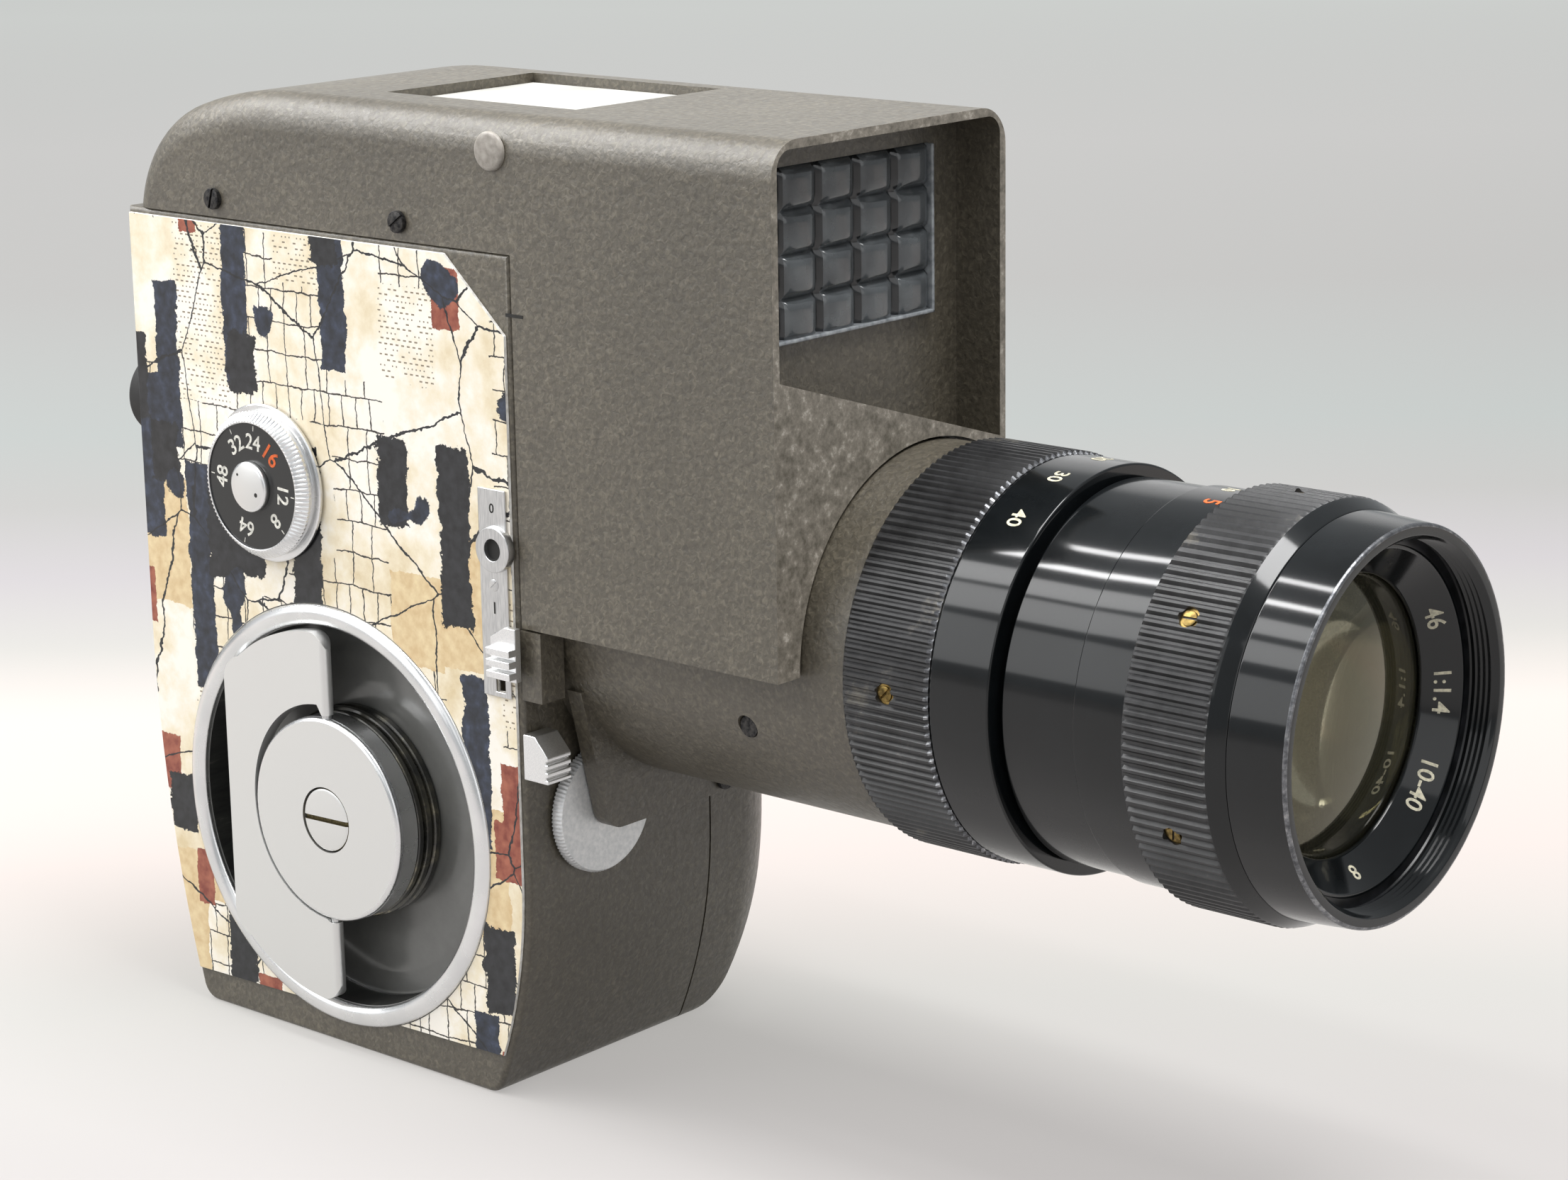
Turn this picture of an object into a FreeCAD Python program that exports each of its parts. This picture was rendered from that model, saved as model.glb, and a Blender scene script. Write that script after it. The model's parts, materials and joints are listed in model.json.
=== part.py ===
"""A spring-wound reflex zoom movie camera, modelled piece by piece.

Frame: the lens looks along -Y, +Z is up and the winding side faces -X. The origin is the mouth of the
tripod socket in the base, in the plane of the lens axis. Lengths are in millimetres.
"""

import FreeCAD, Part
import math
import os
import re

import Sketcher

VECTOR = FreeCAD.Vector
TINY = 1e-4

doc = FreeCAD.newDocument("movie_camera")
sheet = doc.addObject("Spreadsheet::Sheet", "dims")
nodes = []

SIZES = {
    # Body casting
    "near_side": 30.5,
    "seam": 6.3,
    "far_side": 24.5,
    "body_front": 19.6,
    "body_rear": 57.4,
    "body_top": 118.8,
    "front_bend": 32.5,
    "front_tuck": 7.33,
    "rear_bend": 57.5,
    "rear_tuck": 7.77,
    "foot_round": 3,
    "edge_round": 0.8,
    "wall": 2,
    "door_wall": 1.8,
    "door_round": 11,
    "taper_high": 35,
    "taper_angle": 17.4,
    "taper_round": 8,
    "gap": 0.3,
    "slip": 0.1,
    # Skin and winding side
    "skin_thick": 0.5,
    "skin_inset": 0.8,
    "skin_chamfer": 10,
    "skin_front_low": 6.3,
    "skin_rear_low": 4.9,
    "winder_y": 18.25,
    "winder_z": 34.7,
    "well_radius": 28.7,
    "well_depth": 5.5,
    "sheet_metal": 0.8,
    "bezel_radius": 31,
    "bezel_width": 2.7,
    "bezel_proud": 1.3,
    "disc_radius": 14.9,
    "disc_proud": 2.5,
    "disc_thick": 3.8,
    "collar_radius": 15.4,
    "winder_screw_radius": 4.8,
    "key_thick": 2,
    "key_reach": 20.6,
    "key_margin": 0.9,
    "key_pin_radius": 0.7,
    "arbor_radius": 5,
    "pillar_radius": 2.5,
    # Spring motor
    "barrel_radius": 25.5,
    "barrel_length": 13,
    "barrel_skin": 1.2,
    "barrel_teeth": 54,
    "gear_radius": 27.4,
    "gear_width": 2,
    "tooth_depth": 1.3,
    "spring_turns": 6,
    "spring_thick": 0.5,
    "plate_near": 8.2,
    "plate_thick": 2,
    "drive_angle": 53.4,
    "drive_radius": 9,
    "drive_teeth": 18,
    "drive_shaft_radius": 1.5,
    "governor_radius": 7.4,
    "governor_pinion_radius": 3.6,
    # Frame-rate dial
    "dial_y": 28.9,
    "dial_z": 82.05,
    "dial_radius": 10.4,
    "dial_flange_radius": 11.3,
    "dial_height": 3.6,
    "dial_face_radius": 9.05,
    "dial_cap_radius": 3.6,
    "dial_shaft_radius": 2,
    "dial_flutes": 40,
    # Controls at the front corner
    "strip_low": 58.5,
    "strip_high": 87.2,
    "strip_width": 5.1,
    "strip_thick": 0.4,
    "socket_z": 79.1,
    "socket_radius": 3.1,
    "socket_bore": 1.5,
    "socket_depth": 3.5,
    "cheek_proud": 3.7,
    "lever_low": 61.5,
    "lever_high": 68.9,
    "lever_travel": 3,
    "release_low": 47.5,
    "release_high": 53.9,
    "release_travel": 2.5,
    "wheel_x": 17.2,
    "wheel_drop": 28.45,
    "wheel_radius": 9.05,
    "wheel_thick": 1.9,
    "wheel_shaft": 1.5,
    "wheel_teeth": 44,
    # Lens
    "lens_height": 68.85,
    "base_radius": 25.8,
    "base_length": 52.4,
    "base_bore": 21,
    "base_back": 4.4,
    "light_radius": 9,
    "flange_left": 24.5,
    "flange_foot": 19.4,
    "flange_drop": 30.55,
    "flange_thick": 2.6,
    "zoom_radius": 26.9,
    "zoom_length": 13.9,
    "zoom_ribs": 60,
    "scale_radius": 26.5,
    "scale_length": 9.1,
    "groove_width": 1,
    "barrel_core": 23.5,
    "barrel_bore": 20.5,
    "mid_radius": 24.9,
    "mid_length": 11,
    "index_radius": 25.3,
    "index_length": 7.4,
    "helicoid_radius": 22,
    "focus_radius": 26.6,
    "focus_length": 12.2,
    "focus_ribs": 54,
    "focus_screw_turn": -24,
    "rib_depth": 0.45,
    "focus_chamfer": 2,
    "front_radius": 25.3,
    "rim_radius": 24.7,
    "front_length": 7.9,
    "filter_radius": 23,
    "filter_depth": 4,
    "name_outer": 21.6,
    "name_inner": 17.6,
    "name_depth": 5,
    "front_glass_radius": 19.2,
    "front_glass_thick": 6,
    "front_glass_bulge": 3.4,
    "variator_radius": 16.5,
    # Film path
    "shutter_x": 11,
    "shutter_radius": 14.5,
    "shutter_shaft": 1.2,
    "film_plane": 9.1,
    "gate_width": 17,
    "gate_height": 34,
    "frame_width": 4.9,
    "frame_high": 3.7,
    "pull_down": 3.8,
    "claw_low": 60.5,
    "spool_radius": 25.4,
    "spool_hub": 8.5,
    "spool_width": 17,
    "spool_y": 24.2,
    "spool_low": 33.1,
    "spool_pitch": 54.8,
    "spindle_radius": 2.5,
    # Meter housing
    "housing_far": 16.4,
    "housing_top": 136.8,
    "housing_front": 65.2,
    "housing_low": 68.5,
    "housing_rear_round": 18.7,
    "crown_radius": 60,
    "crown_angle": 18,
    "housing_edge": 5,
    "housing_wall": 1.6,
    "hood_wall": 1.2,
    "hood_depth": 7.4,
    "hood_lip_near": 106.8,
    "hood_lip_far": 92.9,
    "cell_left": 28.7,
    "cell_low": 109.7,
    "cell_columns": 5,
    "cell_rows": 4,
    "cell_pitch_x": 7.6,
    "cell_pitch_z": 5.6,
    "window_left": 19.5,
    "window_right": 9,
    "window_front": 22,
    "window_rear": 14,
    "window_depth": 2.2,
    "window_ledge": 3,
    "collar_gap": 26.2,
    "plug_radius": 2.6,
    # Finder, base and fasteners
    "finder_x": 18,
    "finder_z": 88.5,
    "finder_radius": 6,
    "eyepiece_radius": 6.4,
    "eyepiece_reach": 10.3,
    "bush_radius": 5.2,
    "bush_height": 8,
    "thread_radius": 3.175,
    "hinge_offset": 2.6,
    "hinge_pin_radius": 1,
    "knuckle_radius": 2.2,
    "knuckle_length": 8,
    "knuckle_low": 58.5,
    "knuckle_high": 98.5,
    "latch_y": 2,
    "latch_z": 62.5,
    "latch_radius": 7,
    "latch_shaft": 2,
    "screw_radius": 1.5,
}
for row, alias in enumerate(SIZES, 1):
    sheet.set("A%d" % row, alias)
    sheet.set("B%d" % row, str(SIZES[alias]))
    sheet.setAlias("B%d" % row, alias)
doc.recompute()

WORD = re.compile(r"\b(%s)\b" % "|".join(sorted(SIZES, key=len, reverse=True)))


def bound(text):
    """The expression with each named size looked up in the sheet."""
    return WORD.sub(r"dims.\1", text)


def number(text):
    """The present value of an expression."""
    return float(sheet.evalExpression(bound(text)))


def arc_geometry(first, last, radius):
    """An arc from first to last that bulges to the right of the way along it."""
    chord = last - first
    normal = VECTOR(-chord.y, chord.x, 0)
    normal.normalize()
    centre = (first + last) * 0.5 + normal * math.sqrt(max(radius ** 2 - (chord.Length / 2) ** 2, 0))
    start = math.atan2(first.y - centre.y, first.x - centre.x)
    end = math.atan2(last.y - centre.y, last.x - centre.x)
    circle = Part.Circle(centre, VECTOR(0, 0, 1), radius)
    return Part.ArcOfCircle(circle, start, end if end > start else end + 2 * math.pi)


class Piece:
    """One sub-part made as a PartDesign body."""

    def __init__(self, name, kept=True):
        self.body = doc.addObject("PartDesign::Body", name)
        self.body.Label = name
        self.count = 0
        if kept:
            nodes.append((name, self.body))

    def next_name(self, kind):
        self.count += 1
        return "%s_%s_%d" % (self.body.Name, kind, self.count)

    def origin(self, role):
        return [item for item in self.body.Origin.OriginFeatures if item.Role == role][0]

    def sketch(self, plane, offset="0"):
        """A sketch on one of the body's own planes, moved along that plane's normal."""
        sketch = self.body.newObject("Sketcher::SketchObject", self.next_name("sketch"))
        sketch.AttachmentSupport = [(self.origin(plane + "_Plane"), "")]
        sketch.MapMode = "FlatFace"
        sketch.setExpression("AttachmentOffset.Base.z", bound(offset))
        return sketch

    def place(self, east="0", north="0", up="0"):
        """Moves the piece's own frame to its seat."""
        for axis, text in (("x", east), ("y", north), ("z", up)):
            self.body.setExpression("Placement.Base." + axis, bound(text))
        return self

    def feature(self, kind, profile):
        feature = self.body.newObject("PartDesign::" + kind, self.next_name(kind.lower()))
        feature.Profile = profile
        profile.Visibility = False
        return feature

    def pad(self, profile, length, reverse=False):
        pad = self.feature("Pad", profile)
        pad.setExpression("Length", bound(length))
        pad.Reversed = reverse
        return pad

    def cut(self, profile, length, forward=False):
        """A pocket that goes against the plane's normal, or along it when forward."""
        doc.recompute()
        before = self.body.Shape.Volume
        pocket = self.feature("Pocket", profile)
        pocket.setExpression("Length", bound(length))
        pocket.Reversed = forward
        doc.recompute()
        if self.body.Shape.Volume > before - TINY:
            raise ValueError("%s removes nothing" % pocket.Name)
        return pocket

    def turn(self, profile, axis):
        revolution = self.feature("Revolution", profile)
        revolution.ReferenceAxis = (profile, [axis])
        revolution.Angle = 360
        return revolution

    def repeat(self, feature, axis, count):
        """Copies of a feature all the way round an axis."""
        pattern = self.body.newObject("PartDesign::PolarPattern", self.next_name("ring"))
        pattern.Originals = [feature]
        pattern.Axis = (self.origin(axis + "_Axis"), [""])
        pattern.Angle = 360
        pattern.setExpression("Occurrences", bound(count))
        self.body.Tip = pattern
        return pattern

    def teeth(self, plane, offset, length, root, tip, width, count):
        """Teeth round the axis across a plane, each as wide as width at the root."""
        profile = outline(self.sketch(plane, offset), [
            ("(%s) - 0.3" % root, "-(%s) / 2" % width),
            (tip, "-(%s) / 4" % width),
            (tip, "(%s) / 4" % width),
            ("(%s) - 0.3" % root, "(%s) / 2" % width),
        ])
        return self.repeat(self.pad(profile, length), "X" if plane == "YZ" else "Y", count)

    def flutes(self, plane, offset, length, outer, depth, width, count):
        """Notches round the rim of a turned piece."""
        profile = outline(self.sketch(plane, offset), [
            ("(%s) - (%s)" % (outer, depth), "-(%s) / 2" % width),
            ("(%s) + 0.3" % outer, "-(%s) / 2" % width),
            ("(%s) + 0.3" % outer, "(%s) / 2" % width),
            ("(%s) - (%s)" % (outer, depth), "(%s) / 2" % width),
        ])
        return self.repeat(self.cut(profile, length), "X" if plane == "YZ" else "Y", count)

    def round_edges(self, chosen, radius):
        """Fillets the edges of the present shape that the test picks."""
        doc.recompute()
        base = self.body.Tip
        names = ["Edge%d" % (index + 1) for index, edge in enumerate(base.Shape.Edges) if chosen(edge)]
        if not names:
            raise ValueError("%s has no such edge" % self.body.Name)
        fillet = self.body.newObject("PartDesign::Fillet", self.next_name("fillet"))
        fillet.Base = (base, names)
        fillet.setExpression("Radius", bound(radius))
        self.body.Tip = fillet
        return fillet


def fix_point(sketch, item, end, point):
    """Ties one end of a side to its two expressions."""
    for kind, text in (("DistanceX", point[0]), ("DistanceY", point[1])):
        index = sketch.addConstraint(Sketcher.Constraint(kind, -1, 1, item, end, number(text)))
        sketch.setExpression("Constraints[%d]" % index, bound(text))


def outline(sketch, corners):
    """A closed outline. A third value in a corner makes the side after it an arc: below 0 it bends inward."""
    spots = [VECTOR(number(corner[0]), number(corner[1]), 0) for corner in corners]
    for index, corner in enumerate(corners):
        first, last = index, (index + 1) % len(corners)
        if len(corner) == 3:
            radius = number(corner[2])
            if radius < 0:
                first, last = last, first
            item = sketch.addGeometry(arc_geometry(spots[first], spots[last], abs(radius)), False)
            where = sketch.addConstraint(Sketcher.Constraint("Radius", item, abs(radius)))
            sketch.setExpression("Constraints[%d]" % where, bound("abs(%s)" % corner[2]))
        else:
            item = sketch.addGeometry(Part.LineSegment(spots[first], spots[last]), False)
        fix_point(sketch, item, 1, corners[first])
        fix_point(sketch, item, 2, corners[last])
    return sketch


def circle(sketch, x, y, radius):
    """A full circle tied to three expressions."""
    centre = VECTOR(number(x), number(y), 0)
    item = sketch.addGeometry(Part.Circle(centre, VECTOR(0, 0, 1), number(radius)), False)
    fix_point(sketch, item, 3, (x, y))
    index = sketch.addConstraint(Sketcher.Constraint("Radius", item, number(radius)))
    sketch.setExpression("Constraints[%d]" % index, bound(radius))
    return sketch


def rectangle(sketch, left, right, low, high):
    return outline(sketch, [(left, low), (right, low), (right, high), (left, high)])


def turned(name, axis, profile, east="0", north="0", up="0"):
    """A lathe piece. The profile's points are (along, radius); the axis is x, y or z."""
    piece = Piece(name)
    if axis == "x":
        piece.turn(outline(piece.sketch("XY"), profile), "H_Axis")
    else:
        plane = "XY" if axis == "y" else "XZ"
        piece.turn(outline(piece.sketch(plane), [(spot[1], spot[0]) + tuple(spot[2:]) for spot in profile]), "V_Axis")
    return piece.place(east, north, up)


def tube(start, end, inner, outer):
    """The lathe profile of a plain tube or, with no inner radius, of a rod."""
    return [(start, inner), (end, inner), (end, outer), (start, outer)]


def block(name, west, east, south, north, low, high, node=True):
    """A plain box between six expressions."""
    box = doc.addObject("Part::Box", name)
    for side, first, last, axis in (("Length", west, east, "x"), ("Width", south, north, "y"), ("Height", low, high, "z")):
        box.setExpression(side, bound("(%s) - (%s)" % (last, first)))
        box.setExpression("Placement.Base." + axis, bound(first))
    if node:
        box.Label = name
        nodes.append((name, box))
    return box


TURNS = {
    "x": FreeCAD.Rotation(VECTOR(0, 1, 0), 90),
    "y": FreeCAD.Rotation(VECTOR(1, 0, 0), -90),
    "z": FreeCAD.Rotation(),
}


def rod(name, axis, start, end, radius, centre):
    """A cylinder along an axis between two expressions."""
    cylinder = doc.addObject("Part::Cylinder", name)
    cylinder.Placement = FreeCAD.Placement(VECTOR(), TURNS[axis])
    cylinder.setExpression("Radius", bound(radius))
    cylinder.setExpression("Height", bound("(%s) - (%s)" % (end, start)))
    spots = list(centre)
    spots.insert("xyz".index(axis), start)
    for letter, text in zip("xyz", spots):
        cylinder.setExpression("Placement.Base." + letter, bound(text))
    return cylinder


def minus(name, base, tool):
    cut = doc.addObject("Part::Cut", name)
    cut.Base = base
    cut.Tool = tool
    return cut


def plus(name, shapes):
    fuse = doc.addObject("Part::MultiFuse", name)
    fuse.Shapes = shapes
    return fuse


def node(name, thing):
    """Names a finished object as one of the camera's pieces."""
    thing.Label = name
    nodes.append((name, thing))
    return thing


def group(name, things):
    compound = doc.addObject("Part::Compound", name)
    compound.Links = things
    return node(name, compound)


def at_x(edge, spot):
    """Whether a whole edge lies in the plane across X at spot."""
    return abs(edge.BoundBox.XMin - spot) < TINY and abs(edge.BoundBox.XMax - spot) < TINY


def along_x(edge, north, up):
    """Whether an edge runs along X through the given Y and Z."""
    box = edge.BoundBox
    straight = box.YLength < TINY and box.ZLength < TINY
    return straight and abs(box.YMin - north) < 0.01 and abs(box.ZMin - up) < 0.01


FRONT_BOW = "(front_bend^2 + front_tuck^2) / (2 * front_tuck)"
REAR_BOW = "(rear_bend^2 + rear_tuck^2) / (2 * rear_tuck)"


def along_y(edge, east, up):
    """Whether an edge runs along Y through the given X and Z."""
    box = edge.BoundBox
    straight = box.XLength < TINY and box.ZLength < TINY
    return straight and abs(box.XMin - east) < 0.01 and abs(box.ZMin - up) < 0.01


def top_edge(edge, near, far, foot):
    """Whether an edge is one of the housing's long top edges or the bends that run on from them."""
    box = edge.BoundBox
    beside = box.XLength < TINY and min(abs(box.XMin - near), abs(box.XMin - far)) < 0.01
    return beside and box.ZMin > foot - 0.01 and box.ZMax > foot + 1


def front_at(height, inset):
    """The body's front, in Y, at a height below the bend, for an outline drawn in by inset."""
    radius = "(%s - (%s))" % (FRONT_BOW, inset)
    return "-body_front + %s - sqrt(%s^2 - (front_bend - (%s))^2)" % (FRONT_BOW, radius, height)


def rear_at(height, inset):
    """The body's rear, in Y, at a height below the bend, for an outline drawn in by inset."""
    radius = "(%s - (%s))" % (REAR_BOW, inset)
    return "body_rear - %s + sqrt(%s^2 - (rear_bend - (%s))^2)" % (REAR_BOW, radius, height)


def body_outline(sketch, inset, low=None, top=None):
    """The camera's side outline, upright and tapering to the base, drawn in by inset all round."""
    low = low or inset
    top = top or "body_top - (%s)" % inset
    return outline(sketch, [
        ("-body_front + (%s)" % inset, top),
        ("-body_front + (%s)" % inset, "front_bend", "%s - (%s)" % (FRONT_BOW, inset)),
        (front_at(low, inset), low),
        (rear_at(low, inset), low, "%s - (%s)" % (REAR_BOW, inset)),
        ("body_rear - (%s)" % inset, "rear_bend"),
        ("body_rear - (%s)" % inset, top),
    ])


def crown(inset):
    """The meter housing's rounded rear and the slight crown that leads to its flat top, drawn in by inset."""
    rear = "(housing_rear_round - (%s))" % inset
    top = "(crown_radius - (%s))" % inset
    return [
        ("%s + sqrt(%s^2 - (body_top - (%s))^2)" % (ROUND_Y, rear, ROUND_Z), "body_top", rear),
        ("%s + %s * sin(crown_angle * 1deg)" % (ROUND_Y, rear), "%s + %s * cos(crown_angle * 1deg)" % (ROUND_Z, rear), top),
        (CROWN_Y, "housing_top - (%s)" % inset),
    ]


def door_taper(piece, inset):
    """Slants the far lower side of a door body in towards the base, with a round foot."""
    turn = "taper_angle * 1deg"
    foot = "(far_side - taper_high * tan(%s) + taper_round * tan(%s) - taper_round / cos(%s))" % (turn, turn, turn)
    radius = "(taper_round - (%s))" % inset
    side = "far_side - (%s)" % inset
    high = "taper_high + (%s) * (1 / cos(%s) - 1) / tan(%s)" % (inset, turn, turn)
    wedge = outline(piece.sketch("XZ", "body_front + 1"), [
        (side, high),
        ("far_side + 1", high),
        ("far_side + 1", "-1"),
        (foot, "-1"),
        (foot, inset, radius),
        ("%s + %s * cos(%s)" % (foot, radius, turn), "taper_round - %s * sin(%s)" % (radius, turn)),
    ])
    piece.cut(wedge, "body_front + body_rear + 2")


def screw(name, axis, face, inward, radius, length, centre):
    """A cheese head with its shank; inward is the sign of the way into the work."""
    head = "0.5 * (%s)" % radius
    sign = "" if inward > 0 else "-"
    start = "(%s) + %s(%s)" % (face, sign, length) if inward < 0 else face
    shank = rod(name + "_shank", axis, start, "(%s) + (%s)" % (start, length), SHANK % radius, centre)
    begin = "(%s) - (%s)" % (face, head) if inward > 0 else face
    top = rod(name + "_head", axis, begin, "(%s) + (%s)" % (begin, head), radius, centre)
    return plus(name, [shank, top])


# Positions that several pieces share
SHANK = "0.55 * (%s)"
BASE_END = "-body_front - base_length"
ZOOM_START = "(%s) - gap" % BASE_END
ZOOM_END = "(%s) - zoom_length" % ZOOM_START
SCALE_END = "(%s) - scale_length" % ZOOM_END
MID_START = "(%s) - groove_width" % SCALE_END
INDEX_START = "(%s) - mid_length" % MID_START
INDEX_END = "(%s) - index_length" % INDEX_START
FOCUS_START = "(%s) - gap" % INDEX_END
FOCUS_END = "(%s) - focus_length" % FOCUS_START
FRONT_START = "(%s) - focus_chamfer" % FOCUS_END
LENS_END = "(%s) - front_length" % FRONT_START
FILTER_SEAT = "(%s) + filter_depth" % LENS_END
NAME_SEAT = "(%s) + name_depth" % FILTER_SEAT
TUBE_END = "(%s) + 1.2" % FOCUS_END
SLEEVE_END = "(%s) + front_glass_thick + 3.6" % NAME_SEAT
FLANGE_BACK = "body_front + gap + wheel_thick + gap"
FLANGE_FACE = "-(%s) - flange_thick" % FLANGE_BACK
WHEEL_Z = "lens_height - wheel_drop"
FLANGE_LOW = "lens_height - flange_drop"
FOOT_SCREW = ("3.8", "%s + 1.9" % FLANGE_LOW)
FLANK_SCREW = ("2 - body_front - 0.7 * base_length", "lens_height - base_radius * sin(21deg)")
FLANK_X = "base_radius * cos(21deg) - screw_radius / 2 - 0.2"
WELL_FLOOR = "-near_side + well_depth"
SKIN_FACE = "-near_side - skin_thick"
STRIP_FACE = "(%s) - strip_thick" % SKIN_FACE
DISC_FACE = "-near_side - disc_proud"
DISC_BACK = "(%s) + disc_thick" % DISC_FACE
KEY_X = "(%s) + key_thick / 2 + 0.1" % DISC_FACE
KEY_EDGE = "(bezel_radius - bezel_width - key_margin)"
KEY_CORNER = "sqrt(%s^2 - (key_reach - 3.2)^2)" % KEY_EDGE
DIAL_FACE = "(%s) - gap - dial_height + 0.4" % SKIN_FACE
SHAFT_NEAR = "-near_side + wall + gap"
BARREL_FACE = "(%s) + sheet_metal + 2 * gap" % WELL_FLOOR
BARREL_BACK = "(%s) + barrel_length" % BARREL_FACE
DRIVE_WHEEL_BACK = "(%s) - 4 * gear_width" % BARREL_BACK
DRIVE_Y = "winder_y - (gear_radius + drive_radius + gap) * cos(drive_angle * 1deg)"
DRIVE_Z = "winder_z + (gear_radius + drive_radius + gap) * sin(drive_angle * 1deg)"
GOVERNOR_Y = "(%s) + (1.15 * drive_radius + governor_pinion_radius + gap) * cos(45deg)" % DRIVE_Y
GOVERNOR_Z = "(%s) + (1.15 * drive_radius + governor_pinion_radius + gap) * sin(45deg)" % DRIVE_Z
STRIP_REAR = "-body_front + 1.3 + strip_width"
SOCKET_Y = "-body_front + socket_radius"
LEVER_Y = "-body_front + wall + gap"
SLOT_REAR = "(%s) + 1.8" % LEVER_Y
SLOT_LOW = "lever_low + 1 - lever_travel - gap"
SLOT_HIGH = "lever_high - 1.8 + gap"
STEM_WEST = "-near_side + wall + gap"
STEM_EAST = "(%s) + 2" % STEM_WEST
RELEASE_SLOT_LOW = "release_low + 1.5 - release_travel - gap"
RELEASE_SLOT_HIGH = "release_high - 1.5 + gap"
PLATE_FAR = "-plate_near + plate_thick"
SPOOL_START = "(%s) + 2" % PLATE_FAR
SPOOL_HIGH = "spool_low + spool_pitch"
GATE_BACK = "film_plane + 1.8"
CELL_RIGHT = "-cell_left + cell_columns * cell_pitch_x"
CELL_HIGH = "cell_low + cell_rows * cell_pitch_z"
HOOD_BACK = "housing_front - hood_depth"
HOOD_INNER = "(%s) - housing_wall" % HOOD_BACK
HOUSING_SCREWS = (("38.3", "body_top + 2.6"), ("0.9", "body_top + 2.6"))
PLUG = ("-17", "housing_top - 4.6")
GLASS_BOW = "(front_glass_radius^2 + front_glass_bulge^2) / (2 * front_glass_bulge)"
WINDOW_FLOOR = "housing_top - window_depth"
ROUND_Y = "body_rear - housing_rear_round"
ROUND_Z = "housing_top - crown_radius + (crown_radius - housing_rear_round) * cos(crown_angle * 1deg)"
CROWN_Y = "body_rear - housing_rear_round - (crown_radius - housing_rear_round) * sin(crown_angle * 1deg)"
FLOOR_BACK = "(%s) - 1.6" % WINDOW_FLOOR
DOOR_NEAR = "seam + gap"
IRIS_Y = "-body_front - 30"
VARIATOR_Y = "(%s) + 6" % ZOOM_END
HINGE_Y = "body_rear + hinge_offset"
HINGE_X = "seam + gap / 2"
PILLARS = (
    ("body_rear - wall - 5", "body_top - wall - 10"),
    ("-body_front + wall + 5.5", "body_top - wall - 10"),
    ("body_rear - wall - 8", "wall + 12.5"),
    ("-body_front + wall + 5.3", "wall + 24.5"),
)
PLATE_BORES = (
    (("winder_y", "winder_z"), "0.4 * arbor_radius + slip"),
    ((DRIVE_Y, DRIVE_Z), "drive_shaft_radius + slip"),
    ((GOVERNOR_Y, GOVERNOR_Z), "0.8 * drive_shaft_radius + slip"),
    (("spool_y", "spool_low"), "spindle_radius + slip"),
    (("spool_y", SPOOL_HIGH), "spindle_radius + slip"),
)


def body_shell():
    """The die-cast body: side wall, rim all round and the bosses that it carries."""
    piece = Piece("body_shell")
    piece.pad(body_outline(piece.sketch("YZ", "-near_side"), "0"), "near_side + seam")
    front, rear = number(front_at("0", "0")), number(rear_at("0", "0"))
    piece.round_edges(lambda edge: along_x(edge, front, 0) or along_x(edge, rear, 0), "foot_round")
    near = -number("near_side")
    piece.round_edges(lambda edge: at_x(edge, near), "edge_round")
    piece.cut(body_outline(piece.sketch("YZ", "seam"), "wall"), "near_side + seam - wall")
    well = circle(piece.sketch("YZ", "-near_side"), "winder_y", "winder_z", "well_radius + slip")
    piece.cut(well, "wall", forward=True)
    shaft = circle(piece.sketch("YZ", "-near_side"), "dial_y", "dial_z", "dial_shaft_radius + slip")
    piece.cut(shaft, "wall", forward=True)
    slot = rectangle(piece.sketch("YZ", "-near_side"), LEVER_Y, SLOT_REAR, SLOT_LOW, SLOT_HIGH)
    piece.cut(slot, "wall", forward=True)
    socket = circle(piece.sketch("YZ", "-near_side"), SOCKET_Y, "socket_z", "socket_bore + 1")
    piece.cut(socket, "wall", forward=True)
    screws = piece.sketch("YZ", "-near_side + wall")
    for north, up in PILLARS:
        circle(screws, north, up, "pillar_radius")
    piece.pad(screws, "near_side - wall - plate_near")
    light = circle(piece.sketch("XZ", "body_front"), "0", "lens_height", "light_radius")
    piece.cut(light, "wall")
    shutter = circle(piece.sketch("XZ", "body_front"), "-shutter_x", "lens_height", "shutter_shaft + slip")
    piece.cut(shutter, "wall")
    wheel = circle(piece.sketch("XZ", "body_front"), "-wheel_x", WHEEL_Z, "wheel_shaft + slip")
    piece.cut(wheel, "wall")
    finder = circle(piece.sketch("XZ", "body_front"), "-finder_x", "finder_z", "finder_radius")
    piece.cut(finder, "wall")
    release = rectangle(piece.sketch("XZ", "body_front"), STEM_WEST, STEM_EAST, RELEASE_SLOT_LOW, RELEASE_SLOT_HIGH)
    piece.cut(release, "wall")
    eyepiece = circle(piece.sketch("XZ", "wall - body_rear"), "-finder_x", "finder_z", "finder_radius")
    piece.cut(eyepiece, "wall")
    piece.cut(circle(piece.sketch("XY", "wall"), "0", "0", "bush_radius"), "wall")
    cheek = rectangle(piece.sketch("XZ", "body_front"), "-near_side", "-near_side + 4.4", "strip_low", "housing_low - gap")
    piece.pad(cheek, "cheek_proud")
    for low in ("knuckle_low", "knuckle_high"):
        web = rectangle(piece.sketch("XY", low), "%s - knuckle_radius" % HINGE_X, "seam", "body_rear - wall / 2", HINGE_Y)
        piece.pad(web, "knuckle_length")
        piece.pad(circle(piece.sketch("XY", low), HINGE_X, HINGE_Y, "knuckle_radius"), "knuckle_length")
    pin = circle(piece.sketch("XY", "body_top"), HINGE_X, HINGE_Y, "hinge_pin_radius")
    piece.cut(pin, "body_top - rear_bend")


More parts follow.
